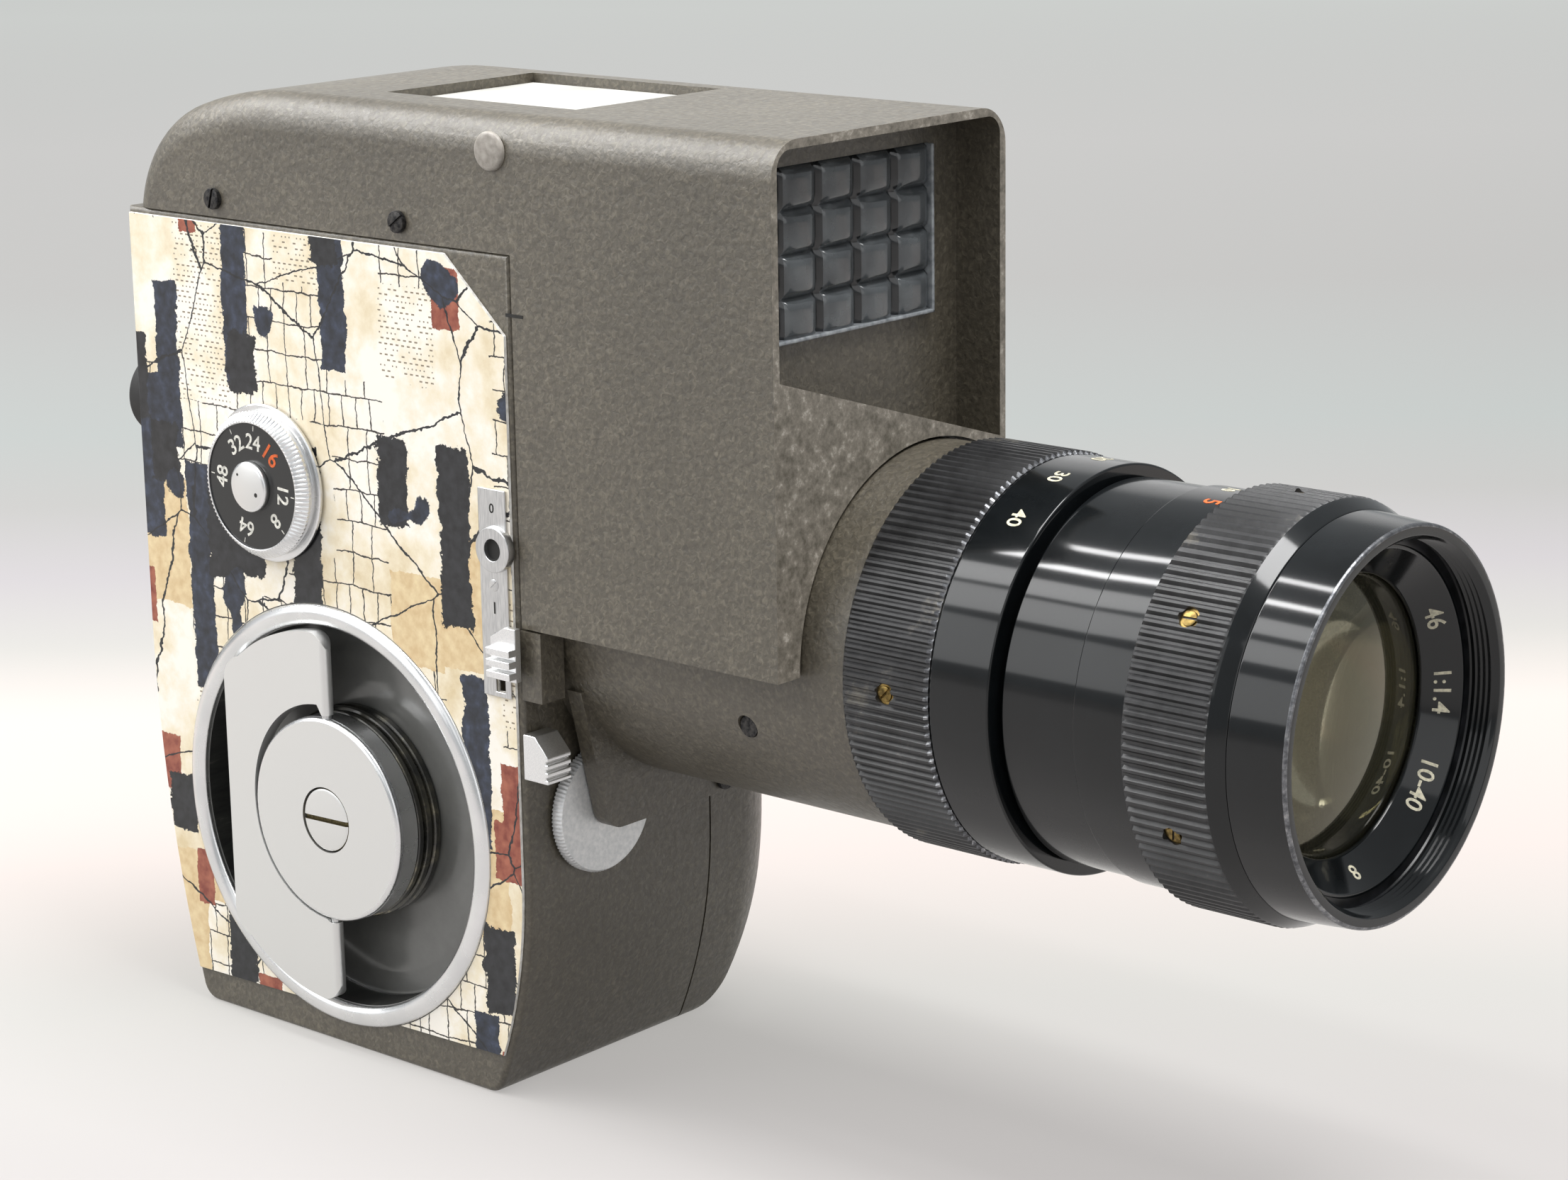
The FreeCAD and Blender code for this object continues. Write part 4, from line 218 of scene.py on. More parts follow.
def printed_film():
    """Printed vinyl film: torn strips of dark, cream and rust paper under a satin laminate."""
    look = bpy.context.scene.camera_skin
    length, width = look.strip_length, look.strip_width
    material, tree, shader, place = start_material("printed_film", Roughness=0.32)
    axes = put(tree, "ShaderNodeSeparateXYZ", {"Vector": place})
    upright = put(tree, "ShaderNodeCombineXYZ", {"X": axes.outputs["Z"], "Y": axes.outputs["Y"]})
    level = put(tree, "ShaderNodeCombineXYZ", {"X": axes.outputs["Y"], "Y": axes.outputs["Z"]})

    def torn(source, rough, wide, shift):
        """The coordinates with their lines made uneven, as torn paper is."""
        wander = put(tree, "ShaderNodeTexNoise", {
            "Vector": source, "Scale": 1 / wide, "Detail": 5, "Roughness": 0.75})
        drift = put(tree, "ShaderNodeVectorMath", {
            0: wander.outputs["Color"], "Scale": rough}, operation="SCALE")
        strayed = put(tree, "ShaderNodeVectorMath", {0: source, 1: drift.outputs[0]}, operation="ADD")
        placed = put(tree, "ShaderNodeVectorMath", {0: strayed.outputs[0], 1: shift}, operation="ADD")
        return placed.outputs[0]

    def strips(source, long, high, gap=0.0, offset=0.37):
        """Bricks with a random grey each, and the lines between them."""
        return put(tree, "ShaderNodeTexBrick", {
            "Vector": source, "Color1": (0, 0, 0, 1), "Color2": (1, 1, 1, 1), "Mortar": (0, 0, 0, 1),
            "Scale": 1.0, "Mortar Size": gap, "Mortar Smooth": 0.1, "Brick Width": long, "Row Height": high},
            offset=offset, offset_frequency=2, squash=0.7, squash_frequency=3)

    def both(first, second):
        """Where two masks overlap."""
        return put(tree, "ShaderNodeMath", {0: first, 1: second}, operation="MULTIPLY").outputs[0]

    def chosen(brick, low, high=1.01):
        """One where the strip's random grey lies between low and high."""
        above = put(tree, "ShaderNodeMath", {0: brick.outputs["Color"], 1: low}, operation="GREATER_THAN")
        below = put(tree, "ShaderNodeMath", {0: brick.outputs["Color"], 1: high}, operation="LESS_THAN")
        return both(above.outputs[0], below.outputs[0])

    def over(base, mask, colour):
        """Lays a colour over the picture where the mask is one."""
        return put(tree, "ShaderNodeMix", {"Factor": mask, 6: base, 7: colour}, data_type="RGBA").outputs[2]

    stain = put(tree, "ShaderNodeTexNoise", {"Vector": place, "Scale": 90, "Detail": 6, "Roughness": 0.65})
    picture = ramp(tree, stain.outputs["Fac"], [(0.3, "#ddc9a2"), (0.46, "#f1e5cb"), (0.6, "#fbf5ea")])
    speck = put(tree, "ShaderNodeTexNoise", {"Vector": place, "Scale": 700, "Detail": 3})
    navy = ramp(tree, speck.outputs["Fac"], [(0.3, "#1d2027"), (0.55, "#2d3340"), (0.75, "#3f485c")])
    ink = ramp(tree, speck.outputs["Fac"], [(0.3, "#141517"), (0.7, "#2c2d30")])
    rust = ramp(tree, speck.outputs["Fac"], [(0.3, "#7d3a2e"), (0.7, "#a9654f")])
    sand = ramp(tree, speck.outputs["Fac"], [(0.3, "#d4b78a"), (0.7, "#e8d3a9")])

    sheets = strips(torn(upright, 3.2 * MM, 9 * MM, (0.013, 0.004, 0)), length * 0.9, width * 2.3)
    picture = over(picture, chosen(sheets, 0.62, 0.74), sand)
    words = strips(level, 1.1 * MM, 0.75 * MM, 0.28 * MM)
    picture = over(picture, both(chosen(sheets, 0.74, 0.9), chosen(words, 0.25)), linear("#8d7f68"))
    mesh_place = torn(level, 2.6 * MM, 14 * MM, (0.002, 0.001, 0))
    net = strips(mesh_place, look.line_spacing, look.line_spacing * 1.15, 0.11 * MM, 0.0)
    picture = over(picture, both(net.outputs["Fac"], chosen(sheets, 0.0, 0.42)), linear("#35302b"))
    for source, rough, wide, shift, long, high, offset, low, colour in (
            (level, 1.6, 2.4, (0.003, 0.009, 0), width * 1.1, length * 0.4, 0.31, 0.93, rust),
            (upright, 3.4, 4.5, (0.0, 0.0017, 0), length * 1.15, width * 1.1, 0.43, 0.81, navy),
            (upright, 4.2, 3.6, (0.007, 0.0031, 0), length * 0.6, width * 1.3, 0.29, 0.88, ink)):
        pieces = strips(torn(source, rough * MM, wide * MM, shift), long, high, offset=offset)
        picture = over(picture, chosen(pieces, low), colour)
    blot_place = torn(level, 2.0 * MM, 1.5 * MM, (0.011, 0.002, 0))
    blots = put(tree, "ShaderNodeTexNoise", {"Vector": blot_place, "Scale": 1 / (15 * MM), "Detail": 1.5})
    blot = put(tree, "ShaderNodeMath", {0: blots.outputs["Fac"], 1: 0.665}, operation="GREATER_THAN")
    picture = over(picture, blot.outputs[0], navy)
    veins = put(tree, "ShaderNodeTexVoronoi", {"Vector": mesh_place, "Scale": 1 / (24 * MM)},
                feature="DISTANCE_TO_EDGE")
    vein = put(tree, "ShaderNodeMath", {0: veins.outputs["Distance"], 1: 0.0045}, operation="LESS_THAN")
    picture = over(picture, vein.outputs[0], ink)
    tree.links.new(picture, shader.inputs["Base Color"])
    bump(tree, shader, speck.outputs["Fac"], 0.01 * MM)
    return material


LAYERED = {"wrinkle_paint": wrinkle_paint, "satin_aluminium": satin_aluminium, "grey_lacquer": grey_lacquer,
           "black_lacquer": black_lacquer, "printed_film": printed_film}

GRAINED = {
    # Lathe-turned and clear-anodised rim: bright and smooth, a little cloudy where it was handled
    "turned_aluminium": dict(scale=1 / (6 * MM), stops=[(0.3, "#d9dadb"), (0.7, "#e6e6e6")],
                             gloss=(0, 1, 0.2, 0.34), Metallic=1.0),
    # Satin nickel plate on stamped steel: a cooler, streaky white metal
    "plated_steel": dict(scale=1 / (0.15 * MM), stops=[(0.25, "#b4b5b6"), (0.75, "#d9d9d8")], detail=3,
                         drawn=(1, 1, 0.08), gloss=(0, 1, 0.26, 0.42), lift=0.006 * MM, Metallic=1.0),
    # Black lacquer on the gripped ribs, rubbed dull grey with flecks of bare metal
    "worn_ribs": dict(scale=110, stops=[(0.38, "#1b1b1c"), (0.6, "#353536"), (0.74, "#77736a")], detail=7,
                      rough=0.72, metal=(0.62, 0.74, 0.0, 0.8), lift=0.02 * MM, Roughness=0.4),
    # Ring edges rubbed down to the bare alloy, with lacquer left in the low spots
    "bare_edge": dict(scale=1 / (1.1 * MM), stops=[(0.4, "#4d4e51"), (0.55, "#7d7e81"), (0.72, "#b5b5b5")],
                      detail=6, rough=0.75, metal=(0.42, 0.55, 0.6, 1), Roughness=0.36),
    # Blackened brass turned in fine steps: near black, with warm metal showing on the corners
    "turned_bronze": dict(scale=1 / (5 * MM), stops=[(0.42, "#1f1f1d"), (0.56, "#4a4840"), (0.7, "#8a8470")],
                          detail=7, rough=0.7, metal=(0.4, 0.7, 0.2, 0.9), Roughness=0.24,
                          **{"Coat Weight": 0.5, "Coat Roughness": 0.1}),
    # The castings' paint made paler along an edge: partly rubbed by hands, partly a painted highlight where
    # light falls on the rounded rim
    "rubbed_and_highlit_paint": dict(scale=1 / (1.4 * MM), detail=6, rough=0.7, lift=0.05 * MM, Roughness=0.42,
                         stops=[(0.35, "#5f5a50"), (0.58, "#8a8378"), (0.72, "#bdb6ab")]),
    # A flat grey enamel disc that covers a screw
    "grey_enamel": dict(scale=1 / (0.8 * MM), stops=[(0.3, "#857f77"), (0.7, "#a39d95")], Roughness=0.4),
    # Brass gone brown in a slot that no cloth reaches
    "dark_brass": dict(scale=1 / (0.4 * MM), stops=[(0.35, "#4a4330"), (0.7, "#7d7352")], detail=4,
                       Metallic=0.8, Roughness=0.5),
    # The well's wall: the same lacquer painted darker as painted shade inside the well, with upright streaks
    # as painted reflections
    "shaded_wall_streaks": dict(scale=1 / (1.3 * MM), stops=[(0.35, "#161717"), (0.6, "#2d2d2b"), (0.75, "#5a5951")],
                         detail=6, rough=0.7, drawn=(0.15, 1, 1), Roughness=0.35),
    # Small levers in satin chrome: the brightest metal, with softened corners
    "bright_steel": dict(scale=1 / (0.2 * MM), stops=[(0.3, "#dedfe0"), (0.7, "#f0f0ef")], detail=3,
                         gloss=(0, 1, 0.28, 0.42), lift=0.006 * MM, Metallic=1.0),
    # Matt silver plating on the thumb wheel, nearly white where the light reaches it
    "white_satin": dict(scale=1 / (0.6 * MM), stops=[(0.3, "#d5d7d8"), (0.7, "#ececec")], Metallic=0.6,
                        Roughness=0.5),
    # Chemically blackened alloy inside the front ring: smooth, between matt and glossy
    "satin_black": dict(scale=1 / (2 * MM), stops=[(0.35, "#0c0d0e"), (0.75, "#232427")], Roughness=0.3),
    # Oil-blackened screw heads, rubbed a little at their rims
    "blackened_steel": dict(scale=1 / (0.5 * MM), stops=[(0.35, "#17171a"), (0.7, "#4a4846")], lift=0.01 * MM,
                            Metallic=0.7, Roughness=0.42),
    # The window's cut and flame-polished edge, which catches the light as a pale line
    "polished_rim": dict(scale=1 / (1.2 * MM), stops=[(0.3, "#6f7377"), (0.7, "#a9adb0")], detail=4,
                         Roughness=0.15),
    # Satin black enamel on the dial, with fine dust in it
    "black_enamel": dict(scale=1 / (0.35 * MM), stops=[(0.4, "#17191a"), (0.8, "#34352f")], Roughness=0.42),
    # Matt black lacquer inside the lens, which swallows stray light
    "dull_black": dict(scale=400, stops=[(0.35, "#0b0b0c"), (0.8, "#232322")], detail=4, lift=0.01 * MM,
                       Roughness=0.6),
    # Dirt and shadow in bores, slots and cut marks: brownish and quite matt
    "dark_slot": dict(scale=400, stops=[(0.35, "#161410"), (0.8, "#232322")], detail=4, lift=0.01 * MM,
                      Roughness=0.7),
    # Enamel pressed into engraved figures, slightly uneven
    **{name: dict(scale=1 / (0.5 * MM), stops=[(0.35, dark), (0.6, pale)], detail=4, Roughness=0.45)
       for name, dark, pale in (("white_ink", "#bcbab2", "#ece9df"), ("cream_ink", "#b0ab97", "#ddd6bd"),
                                ("orange_ink", "#b95321", "#e8682a"))},
    # Small brass screw heads, dulled in their slots
    "aged_brass": dict(scale=1 / (0.9 * MM), stops=[(0.35, "#54472a"), (0.6, "#97804d")], lift=0.02 * MM,
                       Metallic=1.0, Roughness=0.36),
    # Optical crown glass with a thin amber coating and a film of dust
    "coated_glass": dict(scale=1 / (0.4 * MM), stops=[(0.4, "#8f8c78"), (0.8, "#a8a48a")], detail=3,
                         rough=0.8, gloss=(0.52, 0.8, 0.015, 0.2), Roughness=0.02, IOR=1.75, **{
                             "Transmission Weight": 0.92, "Specular Tint": linear("#f3e9bd"),
                             "Coat Weight": 0.0}),
    # Moulded acrylic lenslets over the cell: grey in the depth and bright on their rims; in their grooves the
    # same acrylic is painted darker, as painted shade
    "pressed_glass": dict(scale=260, stops=[(0.3, "#5d6164"), (0.7, "#7f8487")], Roughness=0.12, IOR=1.49,
                          **{"Transmission Weight": 0.5, "Specular IOR Level": 0.8}),
    "groove_shade_glass": dict(scale=260, stops=[(0.3, "#1c1e1f"), (0.7, "#34373a")], Roughness=0.12, IOR=1.49,
                         **{"Transmission Weight": 0.5, "Specular IOR Level": 0.8}),
    # A white diffusing pane of cast acrylic: milky, with little shine
    "milky_pane": dict(scale=120, stops=[(0.3, "#b2b1ab"), (0.7, "#cccbc6")], Roughness=0.3,
                       **{"Specular IOR Level": 0.3}),
    # Soft black rubber with a bloom of age
    "moulded_rubber": dict(scale=220, stops=[(0.3, "#111112"), (0.8, "#2c2b2a")], lift=0.03 * MM,
                           Roughness=0.7),
    # The white core of the film where the knife cut it
    "cut_edge": dict(scale=900, stops=[(0.3, "#cfcac0"), (0.6, "#f6f4ef")], detail=3, Roughness=0.5),
}


def finish(name):
    """The material of that name, made the first time it is asked for."""
    if name in bpy.data.materials:
        return bpy.data.materials[name]
    return LAYERED[name]() if name in LAYERED else grained(name, **GRAINED[name])


# Modelling

def at(direction, east=0.0, north=0.0, up=0.0):
    """A place that faces direction: a matrix whose local Z points out of that face."""
    return Matrix.Translation((east, north, up)) @ direction


def middle(node):
    """The centre of a CAD node's box."""
    low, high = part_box(node)
    return (low + high) / 2


def tidy(bm):
    """Merges what lies on the same spot and points the faces outwards."""
    bmesh.ops.remove_doubles(bm, verts=bm.verts, dist=1e-6)
    bmesh.ops.dissolve_degenerate(bm, edges=bm.edges, dist=1e-7)
    bmesh.ops.recalc_face_normals(bm, faces=bm.faces)


def lathe(profile, steps=144, closed=True):
    """Spins (radius, height) points, in millimetres, about Z into a turned shape."""
    bm = bmesh.new()
    verts = [bm.verts.new((radius * MM, 0, height * MM)) for radius, height in profile]
    pairs = list(zip(verts, verts[1:])) + ([(verts[-1], verts[0])] if closed else [])
    edges = [bm.edges.new(pair) for pair in pairs]
    bmesh.ops.spin(bm, geom=verts + edges, cent=(0, 0, 0), axis=(0, 0, 1), angle=math.tau, steps=steps,
                   use_merge=True)
    tidy(bm)
    return bm


def dome(rim, crown, edge, steps=16):
    """Profile points of a lens face, from its crown on the axis out to its rim."""
    rise = crown - edge
    bend = (rim * rim + rise * rise) / (2 * rise)
    reaches = [rim * i / steps for i in range(steps + 1)]
    return [(reach, crown - bend + math.copysign(math.sqrt(bend * bend - reach ** 2), bend))
            for reach in reaches]


def soften(bm, width, segments=2, angle=32):
    """Breaks every edge sharper than the angle with a small round."""
    sharp = [e for e in bm.edges if e.is_manifold and e.calc_face_angle(0) > math.radians(angle)]
    bmesh.ops.bevel(bm, geom=sharp, offset=width, affect="EDGES", segments=segments, profile=0.5, material=-1,
                    clamp_overlap=True)


def ribbed(levels, count):
    """A closed ring with straight ribs, from levels of (radius on the ribs, in the grooves, height)."""
    bm = bmesh.new()
    bmesh.ops.create_circle(bm, cap_ends=False, segments=count * 4, radius=1)
    loop = list(bm.edges)
    first = loop
    for index, (tip, root, height) in enumerate(levels):
        if index:
            grown = bmesh.ops.extrude_edge_only(bm, edges=loop)["geom"]
            verts = {g for g in grown if isinstance(g, bmesh.types.BMVert)}
            loop = [g for g in grown if isinstance(g, bmesh.types.BMEdge)
                    and all(v in verts for v in g.verts)]
        else:
            verts = set(bm.verts)
        for vert in verts:
            turn = math.atan2(vert.co.y, vert.co.x)
            radius = root if round(turn / math.tau * count * 4) % 4 > 1 else tip
            vert.co = (math.cos(turn) * radius * MM, math.sin(turn) * radius * MM, height * MM)
    bmesh.ops.bridge_loops(bm, edges=first + loop)
    tidy(bm)
    return bm


def box_shape(west, east, south, north, low, high):
    """A plain block between six planes, in millimetres."""
    bm = bmesh.new()
    bmesh.ops.create_cube(bm, size=MM)
    bmesh.ops.scale(bm, verts=bm.verts, vec=(east - west, north - south, high - low))
    centre = Vector(((west + east) / 2, (south + north) / 2, (low + high) / 2)) * MM
    bmesh.ops.translate(bm, verts=bm.verts, vec=centre)
    return bm


def moved(bm, matrix):
    """The same shape moved by a matrix."""
    bmesh.ops.transform(bm, matrix=matrix, verts=bm.verts)
    return bm


def shifted(bm, east, north, up=0.0):
    """The same shape moved along, in millimetres."""
    return moved(bm, Matrix.Translation((east * MM, north * MM, up * MM)))


def join(shapes):
    """Several shapes as one."""
    whole = bmesh.new()
    for bm in shapes:
        part = bpy.data.meshes.new("part")
        bm.to_mesh(part)
        bm.free()
        whole.from_mesh(part)
        bpy.data.meshes.remove(part)
    return whole


def cut(bm, tool):
    """The shape with a tool's shape taken out of it."""
    items = []
    for shape in (bm, tool):
        mesh = bpy.data.meshes.new("work")
        shape.to_mesh(mesh)
        shape.free()
        items.append(bpy.data.objects.new("work", mesh))
        bpy.context.scene.collection.objects.link(items[-1])
    taken = items[0].modifiers.new("cut", "BOOLEAN")
    taken.operation = "DIFFERENCE"
    taken.solver = "EXACT"
    taken.object = items[1]
    result = bpy.data.meshes.new_from_object(items[0].evaluated_get(bpy.context.evaluated_depsgraph_get()))
    whole = bmesh.new()
    whole.from_mesh(result)
    for mesh in [item.data for item in items] + [result]:
        bpy.data.meshes.remove(mesh)
    return whole


def slotted_head(radius, low, high, slot, depth, turn=0.0):
    """A screw head with a driver slot across it."""
    bm = lathe([(0, low), (radius, low), (radius, high), (0, high)], steps=40, closed=False)
    soften(bm, radius * 0.12 * MM)
    bm = cut(bm, box_shape(-radius * 2, radius * 2, -slot / 2, slot / 2, high - depth, high + depth))
    return moved(bm, Matrix.Rotation(turn, 4, "Z"))


def figures(text, height, depth=0.04):
    """Plain figures as a thin solid centred on the origin, in millimetres."""
    curve = bpy.data.curves.new("figures", "FONT")
    curve.body = text
    curve.size = height / 0.7 * MM
    curve.align_x = "CENTER"
    curve.extrude = depth / 2 * MM
    curve.offset = height * 0.018 * MM
    curve.resolution_u = 3
    holder = bpy.data.objects.new("figures", curve)
    mesh = bpy.data.meshes.new_from_object(holder)
    bm = bmesh.new()
    bm.from_mesh(mesh)
    bmesh.ops.remove_doubles(bm, verts=bm.verts, dist=1e-7)
    bmesh.ops.translate(bm, verts=bm.verts, vec=(0, -height / 2 * MM, 0))
    bpy.data.objects.remove(holder)
    bpy.data.curves.remove(curve)
    bpy.data.meshes.remove(mesh)
    return bm


def round_dial(text, height, angle, radius, face):
    """Figures on a round face, their tops outwards, at an angle in degrees from the top of the dial."""
    turn = Matrix.Rotation(-math.radians(angle), 4, "Z") @ Matrix.Translation((0, radius * MM, face * MM))
    return moved(figures(text, height), turn)


def on_tube(bm, radius, angle, height):
    """A flat shape wrapped on the lens mount, its top towards the front, at degrees from the mount's top."""
    for vert in bm.verts:
        turn = math.radians(angle) + vert.co.x / (radius * MM)
        reach = radius * MM + vert.co.z
        vert.co = (-reach * math.sin(turn), reach * math.cos(turn), height * MM + vert.co.y)
    return bm


def on_cone(bm, radius, angle, height, slope):
    """A flat shape laid on the name ring's cone, its top outwards, at degrees from the ring's top."""
    for vert in bm.verts:
        turn = math.radians(angle) + vert.co.x / (radius * MM)
        reach = radius * MM + vert.co.y * math.cos(slope) - vert.co.z * math.sin(slope)
        vert.co = (reach * math.sin(turn), reach * math.cos(turn),
                   height * MM + vert.co.y * math.sin(slope) + vert.co.z * math.cos(slope))
    return bm


def outwards(angle, height):
    """A place on the lens mount that faces out of it, at degrees from its top, in millimetres."""
    return Matrix.Translation((0, -height * MM, LENS_UP)) @ Matrix.Rotation(-math.radians(angle), 4, "Y")


def lens_radius(face):
    """How far a face lies from the lens axis."""
    spot = face.calc_center_median()
    return math.hypot(spot.x, spot.z - LENS_UP)


def ahead(face, height):
    """Whether a face lies further forward than a height along the lens, in millimetres."""
    return face.calc_center_median().y < -height * MM


def make(name, bm, look, body, slot, place=None, stands_for=(), paint=None, weighted=True, sharp=38):
    """Turns a shape into a finished piece that rides on its body."""
    if place is not None:
        moved(bm, place)
    mesh = bpy.data.meshes.new(name)
    tests = paint or {}
    for entry in (look, *tests):
        mesh.materials.append(finish(entry))
    for index, test in enumerate(tests.values(), 1):
        for face in bm.faces:
            if test(face):
                face.material_index = index
    bm.to_mesh(mesh)
    bm.free()
    mesh.shade_smooth()
    mesh.set_sharp_from_angle(angle=math.radians(sharp))
    piece = bpy.data.objects.new(name, mesh)
    bpy.context.scene.collection.objects.link(piece)
    if weighted:
        normals = piece.modifiers.new("normals", "WEIGHTED_NORMAL")
        normals.keep_sharp = True
    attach(piece, body)
    if stands_for:
        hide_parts(*stands_for)


def marked(name, shapes, look, slot, place, body="camera"):
    """Figures, ticks or dots as one flat piece."""
    make(name, join(shapes), look, body, slot, place, weighted=False)


def stand_in(node, bm, look, place=None, paint=None, **settings):
    """A finished piece that stands for one CAD node, on its body."""
    body = frame["nodes"][node]["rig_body"]
    make(node + "_finished", bm, look, body, SLOTS[node], place, (node,), paint, **settings)


def copied(node):
    """A merged copy of a CAD node's triangles, with its flat areas made whole again."""
    bm = bmesh.new()
    bm.from_mesh(frame["nodes"][node].data)
    bmesh.ops.remove_doubles(bm, verts=bm.verts, dist=2e-7)
    bmesh.ops.dissolve_limit(bm, angle_limit=math.radians(0.6), verts=bm.verts, edges=bm.edges)
    return bm


def dressed(node, look, width=0.15 * MM, angle=34, paint=None, segments=2):
    """A smooth copy of a CAD piece with broken edges, which stands for it."""
    bm = copied(node)
    soften(bm, width, segments, angle)
    stand_in(node, bm, look, paint=paint)


SLOTS = {part["node"]: part["material_slot"] for part in frame["record"]["subparts"]}
LENS_UP = middle("zoom_ring").z


# What a user would change

class CastingLook(PropertyGroup):
    """Paint of the castings."""
    grain: FloatProperty(name="Wrinkle grain", description="Width of one wrinkle of the paint",
                         default=0.7 * MM, unit="LENGTH")
    edge: FloatProperty(name="Edge", description="Round on the castings' edges", default=0.3 * MM,
                        unit="LENGTH")


class WindingLook(PropertyGroup):
    """The winding side."""
    axis: FloatVectorProperty(name="Axis", description="Middle of the winding disc: back and up", size=2,
                              default=(middle("winding_disc").y, middle("winding_disc").z), unit="LENGTH")
    slot_width: FloatProperty(name="Screw slot", description="Width of the middle screw's slot",
                              default=0.7 * MM, unit="LENGTH")


class DialLook(PropertyGroup):
    """The speed dial."""
    teeth: IntProperty(name="Knurls", description="Number of knurls round the dial", default=96)
    figure: FloatProperty(name="Figures", description="Height of the figures on the dial", default=2.2 * MM,
                          unit="LENGTH")


class LensLook(PropertyGroup):
    """The lens mount."""
    zoom_ribs: IntProperty(name="Zoom ribs", description="Ribs round the zoom ring", default=139)
    focus_ribs: IntProperty(name="Focus ribs", description="Ribs round the focus ring", default=118)
    rib_depth: FloatProperty(name="Rib depth", description="Depth of the grooves between ribs",
                             default=0.45 * MM, unit="LENGTH")
    pitch: FloatProperty(name="Thread pitch", description="Pitch of the filter thread", default=0.75 * MM,
                         unit="LENGTH")
    figure: FloatProperty(name="Figures", description="Height of the figures on the rings", default=2.3 * MM,
                          unit="LENGTH")


class MeterLook(PropertyGroup):
    """The meter's window of lenslets and its top pane."""
    columns: IntProperty(name="Columns", description="Lenslets across", default=5)
    rows: IntProperty(name="Rows", description="Lenslets up", default=4)
    bulge: FloatProperty(name="Bulge", description="Height of a lenslet", default=1.3 * MM, unit="LENGTH")
    pane_depth: FloatProperty(name="Pane depth", description="Of the top pane under the housing's top",
                              default=1.3 * MM, unit="LENGTH")


class SkinLook(PropertyGroup):
    """The printed film on the winding side."""
    strip_length: FloatProperty(name="Strip length", description="Length of a printed strip", default=21 * MM,
                                unit="LENGTH")
    strip_width: FloatProperty(name="Strip width", description="Width of a printed strip", default=4.6 * MM,
                               unit="LENGTH")
    line_spacing: FloatProperty(name="Line spacing", description="Distance between drawn lines",
                                default=3.9 * MM, unit="LENGTH")


class StageLook(PropertyGroup):
    """Floor, light and camera."""
    focal_length: FloatProperty(name="Focal length", default=85.1,
                                description="Of the camera, in millimetres on a 36 mm sensor")
    eye: FloatVectorProperty(name="Eye", description="Where the camera stands", unit="LENGTH",
                             default=(-368.58 * MM, -360.81 * MM, 194.71 * MM))
    forward: FloatVectorProperty(name="Forward", description="Where the camera looks",
                                 default=(0.731, 0.6365, -0.2458))
    roll: FloatProperty(name="Roll", description="Turn of the camera about its view",
                        default=math.radians(-0.85), unit="ROTATION")
    light: FloatProperty(name="Light", description="Strength of all the lamps", default=1.0)


LOOKS = {
    "camera_casting": CastingLook,
    "camera_winding": WindingLook,
    "camera_dial": DialLook,
    "camera_lens": LensLook,
    "camera_meter": MeterLook,
    "camera_skin": SkinLook,
    "camera_stage": StageLook,
}


# Operators

class CAMERA_OT_castings(Operator):
    """Dress the painted castings"""
    bl_idname = "movie_camera.castings"
    bl_label = "Castings"

    def execute(self, context):
        edge = context.scene.camera_casting.edge
        for node, width in (("body_shell", edge * 0.5), ("film_door", edge * 0.5), ("lens_base", edge)):
            dressed(node, "wrinkle_paint", width)
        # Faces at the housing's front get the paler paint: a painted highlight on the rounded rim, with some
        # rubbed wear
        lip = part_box("meter_housing")[0].y + 0.3 * MM
        dressed("meter_housing", "wrinkle_paint", edge * 1.3, segments=3,
                paint={"rubbed_and_highlit_paint": lambda face: face.calc_center_median().y < lip})
        return {"FINISHED"}


class CAMERA_OT_skin(Operator):
    """Lay the printed film on the winding side"""
    bl_idname = "movie_camera.skin"
    bl_label = "Printed skin"

    def execute(self, context):
        dressed("side_skin", "printed_film", 0.06 * MM, paint={
            "cut_edge": lambda face: abs(face.normal.x) < 0.8})
        return {"FINISHED"}


